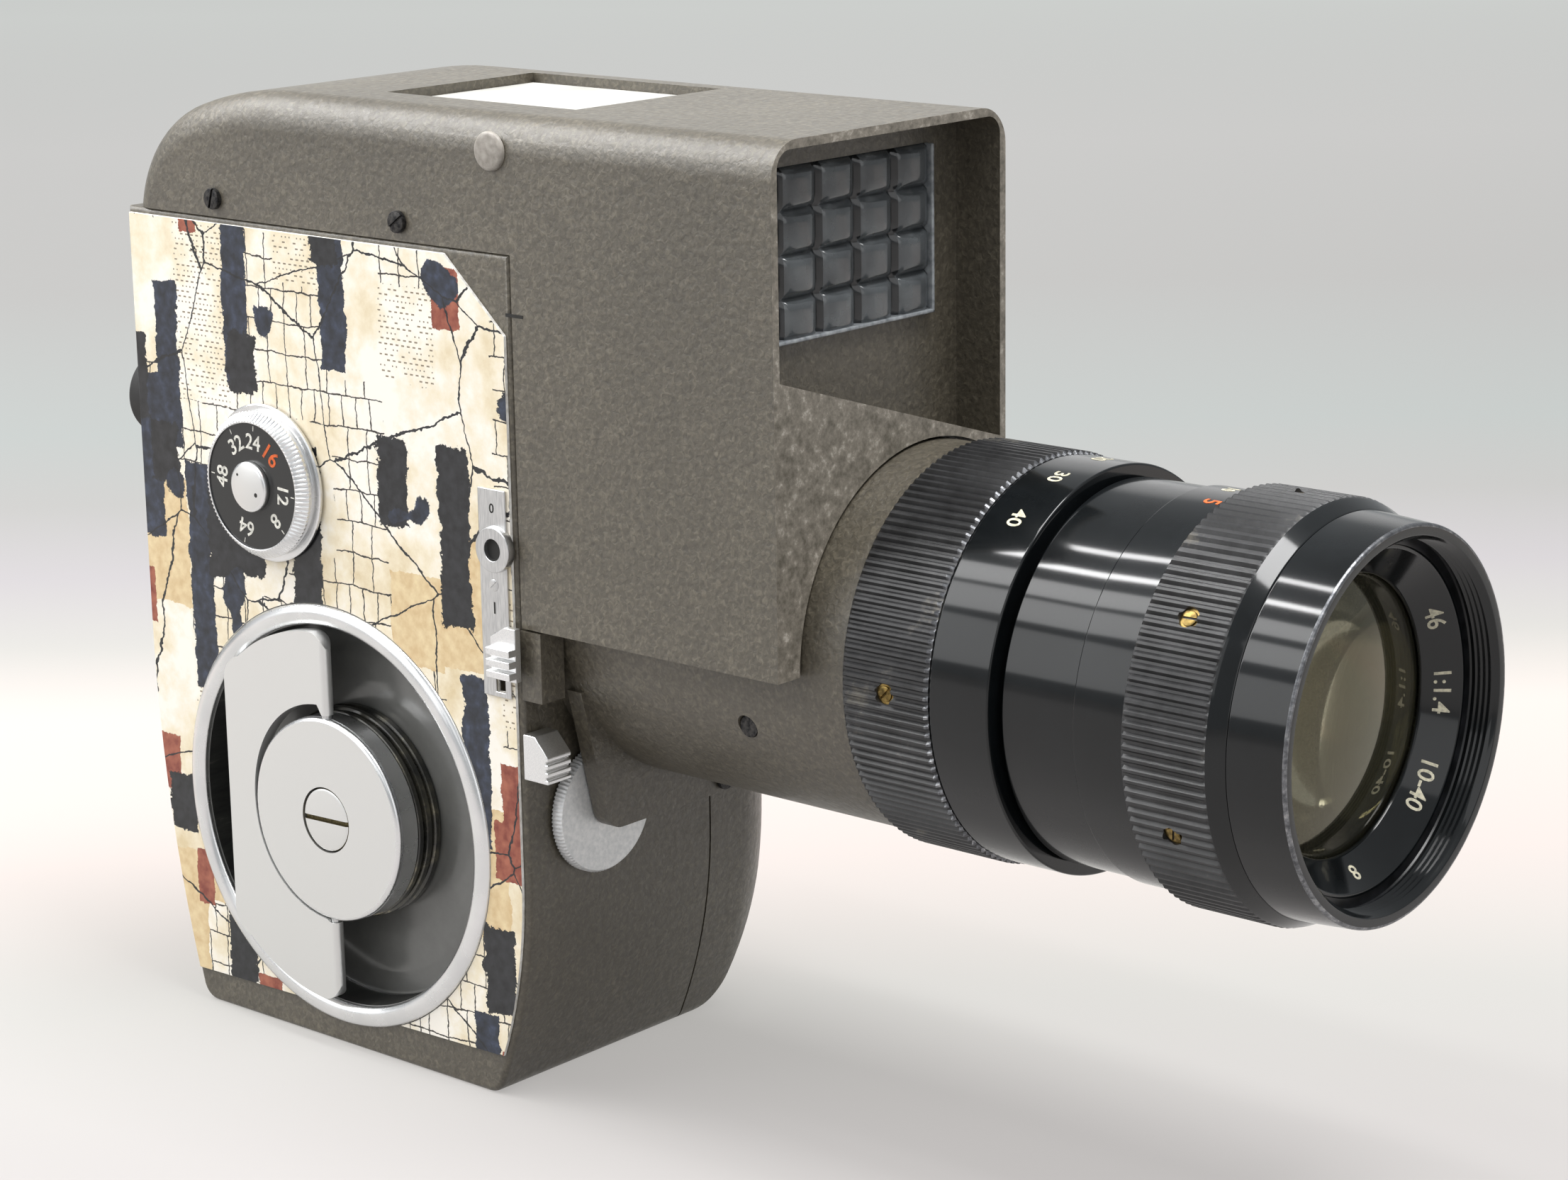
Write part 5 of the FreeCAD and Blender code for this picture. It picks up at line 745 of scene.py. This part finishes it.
class CAMERA_OT_winding(Operator):
    """Make the winding ring, well, disc, key and middle screw"""
    bl_idname = "movie_camera.winding"
    bl_label = "Winding side"

    def execute(self, context):
        look = context.scene.camera_winding
        back, up = look.axis
        axis = at(SIDE, 0, back, up)
        ring = lathe([(28.0, 30.52), (28.0, 31.0), (28.15, 31.32), (28.5, 31.6), (29.0, 31.76), (29.5, 31.8),
                      (30.0, 31.74), (30.5, 31.56), (30.85, 31.28), (31.0, 30.95), (31.0, 30.52)], steps=220)
        stand_in("winding_ring", ring, "turned_aluminium", axis, sharp=50)
        well = lathe([(5.1, 24.2), (5.1, 25.0), (18.4, 25.0), (18.9, 25.3), (24.1, 25.3), (24.6, 25.0),
                      (27.3, 25.0), (27.7, 25.15), (27.9, 25.5), (27.9, 30.5), (28.7, 30.5), (28.7, 24.2)],
                     steps=180)
        # The well's wall faces get a darker copy of the lacquer: painted shade, with upright streaks painted
        # for reflections
        stand_in("winding_well", well, "grey_lacquer", axis, paint={
            "shaded_wall_streaks": lambda face: abs(face.normal.x) < 0.5})
        disc = lathe([(4.82, 29.2), (4.82, 33.0), (14.3, 33.0), (14.52, 32.94), (14.75, 32.76), (14.9, 32.5),
                      (14.9, 32.25), (14.55, 32.2), (14.55, 32.0), (14.9, 31.95), (14.9, 29.2)], steps=200)

        def on_rim(face):
            spot = face.calc_center_median()
            return math.hypot(spot.y - back, spot.z - up) > 14.4 * MM

        stand_in("winding_disc", disc, "satin_aluminium", axis, sharp=50, paint={"turned_aluminium": on_rim})
        collar = lathe([(12.0, 25.32), (12.0, 29.2), (14.7, 29.2), (15.1, 28.95), (15.1, 28.3), (14.6, 28.15),
                        (14.6, 27.9), (15.35, 27.65), (15.35, 26.9), (14.9, 26.75), (14.9, 26.4),
                        (15.4, 26.1), (15.4, 25.32)], steps=180)
        stand_in("winding_collar", collar, "turned_bronze", axis)
        screw = slotted_head(4.7, 31.85, 33.0, look.slot_width / MM, 0.6, math.radians(2))
        stand_in("winding_screw", screw, "satin_aluminium", axis, paint={
            "dark_brass": lambda face: face.normal.x > -0.5 or face.calc_center_median().x > -32.6 * MM})
        stand_in("winding_key", self.key(back, up), "satin_aluminium")
        return {"FINISHED"}

    def key(self, back, up):
        """The half-moon key: its inner arc opens towards the top, and its hinged corners are round."""
        key = copied("winding_key")
        for vert in key.verts:
            east, north = back - vert.co.y, vert.co.z - up
            reach = math.hypot(east, north)
            if reach < 15.8 * MM and east < -0.5 * MM:
                high = max(0.0, north / reach + 0.25)
                wanted = (15.02 + 1.2 * high * high) * MM
                vert.co.y = back - east / reach * wanted
                vert.co.z = up + north / reach * wanted
        for side in (1, -1):
            corner = box_shape(-2, 2.5, *sorted((24.32 * side, 29 * side)), 30, 34)
            kept = shifted(lathe([(0, 29.5), (3, 29.5), (3, 34.5), (0, 34.5)], 96, False), -2, 24.32 * side)
            key = cut(key, moved(cut(corner, kept), at(SIDE, 0, back, up)))
        soften(key, 0.3 * MM, 3, 30)
        return key


class CAMERA_OT_dial(Operator):
    """Make the speed dial with its knurled edge, its figures and its cap"""
    bl_idname = "movie_camera.dial"
    bl_label = "Speed dial"

    def execute(self, context):
        look = context.scene.camera_dial
        spot = middle("speed_dial")
        axis = at(SIDE, 0, spot.y, spot.z)
        knob = ribbed([(8, 8, 31.35), (11.3, 11.3, 31.35), (11.3, 11.3, 31.7), (11.1, 11.1, 31.85),
                       (10.1, 10.1, 31.9), (10.1, 10.1, 32.25), (10.4, 10.4, 32.4), (10.5, 10.5, 33.1),
                       (10.45, 10.25, 33.3), (9.45, 9.2, 34.45), (9.2, 9.2, 34.5), (9.05, 9.05, 34.45),
                       (9.05, 9.05, 34.0), (8, 8, 34.0)], look.teeth)
        stem = lathe([(0, 25.2), (3.6, 25.2), (3.6, 31.4), (8.2, 31.4), (8.2, 34.0), (0, 34.0)], 64, False)
        stand_in("speed_dial", join([knob, stem]), "turned_aluminium", axis, sharp=30)
        face = lathe([(0, 34.0), (9.0, 34.0), (9.0, 34.25), (0, 34.25)], closed=False)
        stand_in("dial_face", face, "black_enamel", axis)
        cap = lathe([(0, 34.26), (3.5, 34.26), (3.6, 34.4), (3.6, 35.0), (3.45, 35.2), (3.2, 35.3),
                     (0, 35.3)], 96, False)
        stand_in("dial_cap", cap, "satin_aluminium", axis, paint={
            "turned_aluminium": lambda face: abs(face.normal.x) < 0.95})
        high = look.figure / MM
        marks = [("24", 5), ("32", -29), ("48", -84), ("64", -165), ("12", 94), ("8", 134)]
        white = [round_dial(text, high, turn, 6.4, 34.27) for text, turn in marks]
        ticks = [round_dial("I", high * 0.32, turn, 8.35, 34.27) for text, turn in marks]
        body = frame["nodes"]["speed_dial"]["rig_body"]
        marked("dial_figures", white + ticks, "white_ink", "scale_white", axis, body)
        orange = round_dial("16", high * 1.1, 39, 6.4, 34.27)
        marked("dial_orange", [orange], "orange_ink", "needle_red", axis, body)
        dots = []
        for turn, reach, size in ((117, 2.0, 0.32), (-50, 2.5, 0.2)):
            dot = lathe([(0, 35.28), (size, 35.28), (size, 35.31), (0, 35.31)], 24, False)
            dots.append(moved(shifted(dot, 0, reach), Matrix.Rotation(-math.radians(turn), 4, "Z")))
        marked("dial_pin_holes", dots, "dark_slot", "dark_steel", axis, body)
        return {"FINISHED"}


class CAMERA_OT_controls(Operator):
    """Finish the control strip, the levers and the aperture wheel"""
    bl_idname = "movie_camera.controls"
    bl_label = "Front controls"

    def execute(self, context):
        dressed("control_strip", "plated_steel", 0.12 * MM)
        strip = at(SIDE, 0, -15.8 * MM, 0)
        marks = [shifted(figures(text, high, 0.03), 0, up, 31.41)
                 for text, high, up in (("0", 1.3, 84.6), ("I", 1.6, 70.9), ("-", 1.0, 66.6))]
        marked("strip_marks", marks, "dark_slot", "dark_steel", strip)
        screw = shifted(slotted_head(0.85, 31.2, 31.5, 0.22, 0.12, math.radians(40)), 0, 74.0)
        make("strip_screws", screw, "plated_steel", "camera", "dark_steel", strip)
        bore = lathe([(0, 31.2), (1.5, 31.2), (1.5, 31.6), (0, 31.6)], 40, False)
        make("socket_bore", bore, "dark_slot", "camera", "dark_steel", at(SIDE, 0, -16.5 * MM, 79.1 * MM))
        dressed("run_lever", "bright_steel", 0.22 * MM, 20, segments=3)
        dressed("release_key", "bright_steel", 0.16 * MM, 20)
        wheel = ribbed([(1.5, 1.5, 19.9), (8.6, 8.6, 19.9), (9.05, 8.86, 20.15), (9.05, 8.86, 21.35),
                        (8.7, 8.7, 21.8), (1.5, 1.5, 21.8)], 96)
        hub = lathe([(0, 16.6), (1.5, 16.6), (1.6, 21.75), (0, 21.75)], 48, False)
        spot = middle("aperture_wheel")
        stand_in("aperture_wheel", join([wheel, hub]), "white_satin", at(FRONT, spot.x, 0, spot.z))
        return {"FINISHED"}


class CAMERA_OT_lens(Operator):
    """Make the rings, the screws, the figures and the glass of the lens mount"""
    bl_idname = "movie_camera.lens"
    bl_label = "Lens mount"

    def execute(self, context):
        look = context.scene.camera_lens
        axis = at(FRONT, 0, 0, LENS_UP)
        self.grips(look, axis)
        self.tubes(look, axis)
        self.glass(axis)
        self.numbers(look, axis)
        return {"FINISHED"}

    def grips(self, look, axis):
        """The two ribbed rings, with a drilled spot and a screw in each spot."""
        tip = 26.9
        root = tip - look.rib_depth / MM
        zoom = ribbed([(23.6, 23.6, 72.3), (26.3, 26.3, 72.3), (tip, root, 72.8), (tip, root, 85.6),
                       (26.5, 26.4, 86.1), (23.6, 23.6, 86.15)], look.zoom_ribs)
        tip = 26.6
        root = tip - look.rib_depth / MM
        focus = ribbed([(22.1, 22.1, 115.0), (26.1, 26.1, 115.0), (tip, root, 115.4), (tip, root, 126.7),
                        (26.45, 26.45, 127.15), (26.3, 26.3, 127.5), (25.35, 25.35, 129.1),
                        (25.2, 25.2, 129.2), (22.1, 22.1, 129.2)], look.focus_ribs)
        worn = {"bare_edge": lambda face: ahead(face, 85.6) and lens_radius(face) > 26.55 * MM}
        smooth = {"black_lacquer": lambda face: ahead(face, 127.1)}
        rings = (("zoom", zoom, worn, [90 + 120 * k for k in range(3)], 79.25, 26.2, 26.5),
                 ("focus", focus, smooth, [54 + 60 * k for k in range(6)], 121.1, 25.9, 26.15))
        spot = 1.35
        for name, ring, paint, turns, height, floor, top in rings:
            drill = [moved(lathe([(0, floor), (spot, floor), (spot, 28), (0, 28)], 32, False),
                           outwards(turn, height)) for turn in turns]
            ring = cut(ring, moved(join(drill), axis.inverted()))
            stand_in(name + "_ring", ring, "worn_ribs", axis, sharp=30, paint=paint)
        for name, ring, paint, turns, height, floor, top in rings:
            heads = []
            for turn in turns:
                head = slotted_head(1.02, 24.6, top, 0.3, 0.3, math.radians(25 + 70 * math.radians(turn)))
                seat = lathe([(1.0, top - 0.4), (1.0, top - 0.22), (1.33, top - 0.22), (1.33, top - 0.4)], 32)
                heads.append(moved(join([head, seat]), outwards(turn, height)))
            stand_in(name + "_screws", join(heads), "aged_brass")

    def tubes(self, look, axis):
        """The smooth rings: number ring, barrel, front ring with its filter thread, and name ring."""
        scale = lathe([(23.6, 86.2), (26.25, 86.2), (26.45, 86.3), (26.5, 86.5), (26.5, 95.05), (26.4, 95.25),
                       (26.2, 95.3), (23.6, 95.3)], steps=220)
        stand_in("zoom_scale_ring", scale, "black_lacquer", axis, sharp=50)
        barrel = lathe([(20.5, 72.0), (23.5, 72.0), (23.5, 96.3), (24.7, 96.3), (24.87, 96.37), (24.9, 96.5),
                        (24.9, 107.1), (25.2, 107.2), (25.3, 107.4), (25.3, 114.5), (25.15, 114.7),
                        (22.0, 114.7), (22.0, 126.0), (20.5, 126.0)], steps=220)
        stand_in("lens_barrel", barrel, "black_lacquer", axis, sharp=50)
        pitch, outer, inner = look.pitch / MM, 136.6, 133.4
        thread = []
        for step in range(int((outer - inner) / pitch)):
            crest = outer - step * pitch
            thread += [(23.05, crest), (22.62, crest - pitch / 2)]
        outside = [(19.2, 118.5), (20.4, 118.5), (20.4, 126.3), (22.0, 126.3), (22.0, 129.2), (25.0, 129.2),
                   (25.2, 129.28), (25.25, 129.45), (24.75, 136.7), (24.66, 136.95), (24.5, 137.08),
                   (24.3, 137.1), (23.35, 137.1), (23.2, 137.0)]
        inside = [(23.0, 133.3), (22.9, 133.05), (21.6, 133.0), (21.6, 128.1), (19.2, 128.1)]
        front = lathe(outside + thread + inside, steps=220)
        stand_in("front_ring", front, "black_lacquer", axis, sharp=40, paint={
            "bare_edge": lambda face: ahead(face, 136.72) and lens_radius(face) > 24.25 * MM,
            "satin_black": lambda face: not ahead(face, 133.5) and lens_radius(face) < 22.95 * MM})
        name = lathe([(19.2, 128.1), (21.6, 128.1), (21.6, 133.1), (21.3, 133.15), (21.0, 133.05),
                      (17.75, 129.5), (17.6, 129.35), (17.6, 128.95), (18.4, 128.5)], steps=220)
        stand_in("name_ring", name, "black_lacquer", axis, sharp=50)

    def glass(self, axis):
        """The front element, and what the eye meets in the depth behind it."""
        glass = lathe(dome(19.2, 131.4, 128.05, 24) + [(19.2, 125.0)] + dome(19.2, 122.1, 125.0, 24)[::-1],
                      steps=128, closed=False)
        stand_in("front_element", glass, "coated_glass", axis, sharp=60)
        inner = lathe(dome(14.0, 111.0, 108.4, 16) + dome(14.0, 106.9, 107.4, 4)[::-1], steps=96,
                      closed=False)
        make("second_glass", inner, "coated_glass", "camera", "optical_glass", axis, sharp=60)
        stairs = []
        for step in range(9):
            stairs += [(14.1 + step * 0.7, 108.8 + step * 1.25), (14.1 + step * 0.7, 110.05 + step * 1.25)]
        cone = lathe([(20.3, 104.8), (14.1, 104.8)] + stairs + [(20.3, 120.05)], steps=120)
        make("baffle_cone", cone, "dull_black", "camera", "black_anodised", axis)

    def numbers(self, look, axis):
        """Figures on the number ring, the barrel and the name ring."""
        high = look.figure / MM
        marks = [("10", -44), ("15", -25), ("20", -6), ("30", 14), ("40", 34)]
        pale = [on_tube(figures(text, high * 0.9), 26.52, turn, 91.0) for text, turn in marks]
        marked("zoom_figures", pale, "cream_ink", "scale_white", axis, frame["nodes"]["zoom_ring"]["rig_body"])
        metres = [("2", -52), ("3", -36), ("5", -20), ("10", -5)]
        pale = [on_tube(figures(text, high * 0.8), 25.32, turn, 111.0) for text, turn in metres]
        marked("distance_figures", pale, "cream_ink", "scale_white", axis)
        orange = on_tube(figures("5", high), 25.32, 9, 112.4)
        marked("orange_figure", [orange], "orange_ink", "needle_red", axis)
        slope = math.atan2(133.05 - 129.5, 21.0 - 17.75)
        marks = [("46", 62, 1.0), ("1:1.4", 92, 0.95), ("10-40", 128, 0.95), ("8", 180, 0.9),
                 ("46", -70, 1.0)]
        pale = [on_cone(figures(text, high * size), 19.4, turn, 131.31, slope) for text, turn, size in marks]
        marked("name_ring_figures", pale, "cream_ink", "scale_white", axis,
               frame["nodes"]["name_ring"]["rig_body"])


class CAMERA_OT_meter(Operator):
    """Make the lenslet window, the top pane, the screws and the plug of the meter housing"""
    bl_idname = "movie_camera.meter"
    bl_label = "Meter housing"

    def execute(self, context):
        look = context.scene.camera_meter
        self.lenslets(look)
        (west, south, foot), (east, north, ledge) = [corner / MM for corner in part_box("top_window")]
        rise = (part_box("meter_housing")[1].z - look.pane_depth) / MM
        plate = box_shape(west - 2.3, east + 2.3, south - 2.3, north + 2.3, ledge + 0.43, rise)
        soften(plate, 0.4 * MM, 4)
        neck = box_shape(west + 1.1, east - 1.1, south + 1.1, north - 1.1, ledge - 0.5, ledge + 0.8)
        pane = join([box_shape(west, east, south, north, foot, ledge), neck, plate])
        stand_in("top_window", pane, "milky_pane")

        side = -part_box("housing_screws")[0].x / MM
        heads = [moved(slotted_head(1.5, 27.5, side, 0.4, 0.3, math.radians(35 + north)),
                       at(SIDE, 0, north * MM, 121.4 * MM)) for north in (38.3, 0.9)]
        stand_in("housing_screws", join(heads), "blackened_steel")
        spot = middle("housing_plug")
        plug = lathe([(0, 27.5), (1.5, 27.5), (1.5, 30.5), (2.6, 30.5), (2.6, 30.85), (2.45, 31.08),
                      (2.1, 31.18), (0, 31.2)], 64, False)
        stand_in("housing_plug", plug, "grey_enamel", at(SIDE, 0, spot.y, spot.z), sharp=50)
        dash = box_shape(-30.54, -30.3, -22.0, -18.8, 110.6, 111.05)
        make("housing_dash", dash, "dark_slot", "camera", "dark_steel")
        dressed("lens_base_screws", "blackened_steel", 0.08 * MM)
        return {"FINISHED"}

    def lenslets(self, look):
        """The window over the cell: pillows of glass with grooves between them, and its bright edge."""
        low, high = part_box("cell_glass")
        wide, tall = high.x - low.x, high.z - low.z
        face = low.y + 0.1 * MM + look.bulge
        fine = 10
        glass = bmesh.new()
        bmesh.ops.create_grid(glass, x_segments=look.columns * fine, y_segments=look.rows * fine, size=0.5)
        for vert in glass.verts:
            across = (vert.co.x + 0.5) * look.columns % 1 * 2 - 1
            up = (vert.co.y + 0.5) * look.rows % 1 * 2 - 1
            lift = look.bulge * (1 - across ** 4) * (1 - up ** 6) ** 0.6
            if abs(abs(across) - 1) < 1e-3:
                lift = -0.35 * MM
            vert.co = (vert.co.x * wide, vert.co.y * tall, lift)
        rim = [e for e in glass.edges if e.is_boundary]
        for vert in {v for e in rim for v in e.verts}:
            vert.co.z = 0
        grown = bmesh.ops.extrude_edge_only(glass, edges=rim)["geom"]
        for vert in (g for g in grown if isinstance(g, bmesh.types.BMVert)):
            vert.co.z = face - high.y + 0.05 * MM
        bmesh.ops.contextual_create(glass, geom=[e for e in glass.edges if e.is_boundary])
        tidy(glass)

        # Faces in the grooves between the columns get a darker copy of the glass: painted shade
        def in_shaded_groove(spot):
            return abs((spot.calc_center_median().x - low.x) / wide * look.columns % 1 - 0.5) > 0.41

        place = at(FRONT, (low.x + high.x) / 2, face, (low.z + high.z) / 2)
        stand_in("cell_glass", glass, "pressed_glass", place, sharp=50, paint={"groove_shade_glass": in_shaded_groove})
        (west, front, south), (east, _, north) = [corner / MM for corner in (low, high)]
        edge = 0.55
        bars = []
        for sides in ((west, east, south, south + edge), (east - edge, east, south, north)):
            bar = box_shape(*sides[:2], front + 0.02, front + 1.6, *sides[2:])
            soften(bar, 0.2 * MM, 3)
            bars.append(bar)
        make("glass_edge", join(bars), "polished_rim", "camera", "cell_glass")


class CAMERA_OT_back(Operator):
    """Make the eyepiece, the latch, the hinge pins and the tripod thread"""
    bl_idname = "movie_camera.back"
    bl_label = "Back and foot"

    def execute(self, context):
        spot = middle("eyepiece_ring")
        to_back = at(FRONT, spot.x, 0, spot.z)
        cup = lathe([(5.1, -57.7), (6.4, -57.7), (6.4, -60.2), (6.1, -60.4), (6.1, -60.8), (6.4, -61.0),
                     (6.4, -66.9), (6.2, -67.35), (5.7, -67.65), (5.1, -67.7), (4.2, -67.6), (3.8, -67.3),
                     (3.5, -66.4), (3.2, -64.9), (3.0, -64.0), (5.1, -64.0)], steps=96)
        stand_in("eyepiece_ring", cup, "moulded_rubber", to_back, sharp=45)
        lens = lathe([(0, -62.2), (4.9, -62.2)] + dome(4.9, -63.9, -63.3, 10)[::-1], steps=64, closed=False)
        make("eyepiece_glass", lens, "coated_glass", "camera", "optical_glass", to_back, sharp=60)
        dressed("door_latch", "plated_steel", 0.25 * MM, segments=3)
        dressed("hinge_pins", "plated_steel")
        bush = middle("tripod_bush")
        thread, pitch = [], 1.27
        for step in range(5):
            thread += [(3.175, 0.7 + step * pitch), (2.6, 0.7 + (step + 0.5) * pitch)]
        socket = lathe([(6.0, 0.02), (6.0, 2.0), (5.0, 2.0), (5.0, 8.0), (2.7, 8.0)] + thread[::-1]
                       + [(3.3, 0.3), (3.5, 0.02)], steps=96)
        stand_in("tripod_bush", socket, "plated_steel", at(TOP, bush.x, bush.y, 0))
        return {"FINISHED"}


INSIDE = {
    "plated_steel": ("winding_arbor", "key_pins", "spring_barrel", "mechanism_plate", "supply_spindle",
                     "takeup_spindle", "film_claw", "mainspring", "pressure_plate"),
    "aged_brass": ("drive_gear", "governor", "film_gate"),
    "dull_black": ("shutter", "iris_ring", "selenium_cell", "supply_spool", "takeup_spool", "meter_movement",
                   "finder_tube"),
    "coated_glass": ("variator", "rear_lens_group", "reflex_prism"),
    "white_ink": ("meter_scale",),
    "orange_ink": ("meter_needle",),
}


class CAMERA_OT_rest(Operator):
    """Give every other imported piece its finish"""
    bl_idname = "movie_camera.rest"
    bl_label = "Inner pieces"

    def execute(self, context):
        for look, nodes in INSIDE.items():
            for node in nodes:
                materials = frame["nodes"][node].data.materials
                materials.clear()
                materials.append(finish(look))
        return {"FINISHED"}


# Tones along the floor, from the front edge to the far end: painted light and shade, a bright band just behind
# the object and greyer tones further off
FLOOR = [(0.03, "#d6d2d0"), (0.064, "#d9d7d3"), (0.103, "#e9dfda"), (0.154, "#eee6e0"), (0.185, "#d5d3cf"),
         (0.219, "#ccc8ca"), (0.261, "#c2c1bf"), (0.31, "#c0c4c2"), (0.44, "#c7c6c4"), (0.646, "#d7d6d4"),
         (0.99, "#e3e5e2")]
FLOOR_NEAR, FLOOR_FAR = -0.1, 1.6
FLOOR_SHARE, FLOOR_GLOW = 0.3, 0.6

# Name, direction from the camera body, distance, the line its first side follows, both sides, and watts
LAMPS = (
    ("overhead", (0.05, -0.25, 1.0), 1.1, (1, 0, 0), (0.5, 0.7), 17.0),
    ("strip_high", (-0.05, 0.58, 0.80), 0.9, (0, 1, 0), (0.7, 0.045), 2.2),
    ("strip_low", (-0.25, 0.58, 0.75), 0.9, (0, 1, 0), (0.7, 0.045), 2.8),
    ("side_high", (-0.43, 0.55, 0.67), 1.0, (0, 1, 0), (0.9, 0.15), 2.8),
    ("side_middle", (-0.58, 0.55, 0.54), 1.0, (0, 1, 0), (0.9, 0.2), 2.6),
    ("side_low", (-0.76, 0.55, 0.26), 1.0, (0, 1, 0), (0.9, 0.38), 2.2),
    ("left_fill", (-1.0, -0.15, 0.6), 1.2, (0, 1, 0), (0.8, 0.6), 1.2),
    ("front_fill", (-0.5, -1.0, 0.45), 1.2, (1, 0, 0), (0.6, 0.9), 1.6),
)


class CAMERA_OT_stage(Operator):
    """Make the floor, the lights and the camera"""
    bl_idname = "movie_camera.stage"
    bl_label = "Stage"

    def execute(self, context):
        look = context.scene.camera_stage
        scene = context.scene
        scene.view_settings.view_transform = "Standard"
        forward = Vector(look.forward).normalized()
        camera = bpy.data.cameras.new("view")
        camera.sensor_width = 36
        camera.lens = look.focal_length
        camera.clip_start = 0.01
        holder = bpy.data.objects.new("view", camera)
        turn = forward.to_track_quat("-Z", "Y").to_matrix().to_4x4() @ Matrix.Rotation(look.roll, 4, "Z")
        holder.matrix_world = Matrix.Translation(Vector(look.eye)) @ turn
        scene.collection.objects.link(holder)
        scene.camera = holder
        self.floor(scene, forward)
        self.sky(scene, forward)
        target = Vector((0, -0.06, 0.07))
        for name, direction, distance, beside, size, power in LAMPS:
            lamp = bpy.data.lights.new(name, "AREA")
            lamp.shape = "RECTANGLE"
            lamp.size, lamp.size_y = size
            lamp.energy = power * look.light
            stand = bpy.data.objects.new(name, lamp)
            back = Vector(direction).normalized()
            across = back.cross(Vector(beside)).normalized()
            turn = Matrix((across.cross(back), across, back)).transposed().to_4x4()
            stand.matrix_world = Matrix.Translation(target + back * distance) @ turn
            scene.collection.objects.link(stand)
        return {"FINISHED"}

    def floor(self, scene, forward):
        """A pale floor that takes shadows, its tone changing with the distance along the view."""
        plane = bmesh.new()
        bmesh.ops.create_grid(plane, x_segments=1, y_segments=1, size=6)
        mesh = bpy.data.meshes.new("floor")
        plane.to_mesh(mesh)
        plane.free()
        stage = bpy.data.objects.new("floor", mesh)
        scene.collection.objects.link(stage)
        material, tree, shader, place = start_material(
            "studio_floor", Roughness=0.8, **{"Specular IOR Level": 0.0})
        away = Vector((forward.x, forward.y, 0)).normalized()
        along = put(tree, "ShaderNodeVectorMath", {0: place, 1: away}, operation="DOT_PRODUCT")
        spot = put(tree, "ShaderNodeMapRange", {
            "Value": along.outputs["Value"], "From Min": FLOOR_NEAR, "From Max": FLOOR_FAR})
        colour = ramp(tree, spot.outputs[0], FLOOR)
        share = put(tree, "ShaderNodeVectorMath", {0: colour, "Scale": FLOOR_SHARE}, operation="SCALE")
        tree.links.new(share.outputs[0], shader.inputs["Base Color"])
        tree.links.new(colour, shader.inputs["Emission Color"])
        rays = put(tree, "ShaderNodeLightPath").outputs
        seen = rays["Is Camera Ray"]
        for kind in ("Is Glossy Ray", "Is Transmission Ray"):
            seen = put(tree, "ShaderNodeMath", {0: seen, 1: rays[kind]}, operation="MAXIMUM").outputs[0]
        glow = put(tree, "ShaderNodeMath", {0: seen, 1: FLOOR_GLOW}, operation="MULTIPLY")
        tree.links.new(glow.outputs[0], shader.inputs["Emission Strength"])
        mesh.materials.append(material)

    def sky(self, scene, forward):
        """A grey room, white where the top faces mirror it towards the camera."""
        world = bpy.data.worlds.new("studio")
        world.use_nodes = True
        tree = world.node_tree
        around = put(tree, "ShaderNodeTexCoord").outputs["Generated"]
        behind = put(tree, "ShaderNodeVectorMath", {0: around, 1: Vector((forward.x, forward.y, -forward.z))},
                     operation="DOT_PRODUCT")
        bright = put(tree, "ShaderNodeMapRange", {
            "Value": behind.outputs["Value"], "From Min": 0.955, "From Max": 0.99},
            interpolation_type="SMOOTHSTEP")
        tone = ramp(tree, bright.outputs[0], [(0.0, "#adb0b2"), (1.0, "#ffffff")])
        tree.links.new(tone, tree.nodes["Background"].inputs["Color"])
        scene.world = world


class VIEW3D_PT_movie_camera(Panel):
    """Lists the camera's pieces"""
    bl_label = "Movie camera"
    bl_space_type = "VIEW_3D"
    bl_region_type = "UI"
    bl_category = "Movie camera"

    def draw(self, context):
        for name, kind in LOOKS.items():
            box = self.layout.box()
            for field in kind.__annotations__:
                box.prop(getattr(context.scene, name), field)
        for kind in OPERATORS:
            self.layout.operator(kind.bl_idname)


OPERATORS = (CAMERA_OT_castings, CAMERA_OT_skin, CAMERA_OT_winding, CAMERA_OT_dial, CAMERA_OT_controls,
             CAMERA_OT_lens, CAMERA_OT_meter, CAMERA_OT_back, CAMERA_OT_rest, CAMERA_OT_stage)


def register():
    for kind in (*LOOKS.values(), *OPERATORS, VIEW3D_PT_movie_camera):
        bpy.utils.register_class(kind)
    for name, kind in LOOKS.items():
        setattr(bpy.types.Scene, name, PointerProperty(type=kind))


def unregister():
    for name in LOOKS:
        delattr(bpy.types.Scene, name)
    for kind in reversed((*LOOKS.values(), *OPERATORS, VIEW3D_PT_movie_camera)):
        bpy.utils.unregister_class(kind)


def main():
    """Makes every piece."""
    register()
    for kind in OPERATORS:
        group, name = kind.bl_idname.split(".")
        getattr(getattr(bpy.ops, group), name)()
    bpy.context.view_layer.update()


if __name__ == "__main__":
    main()
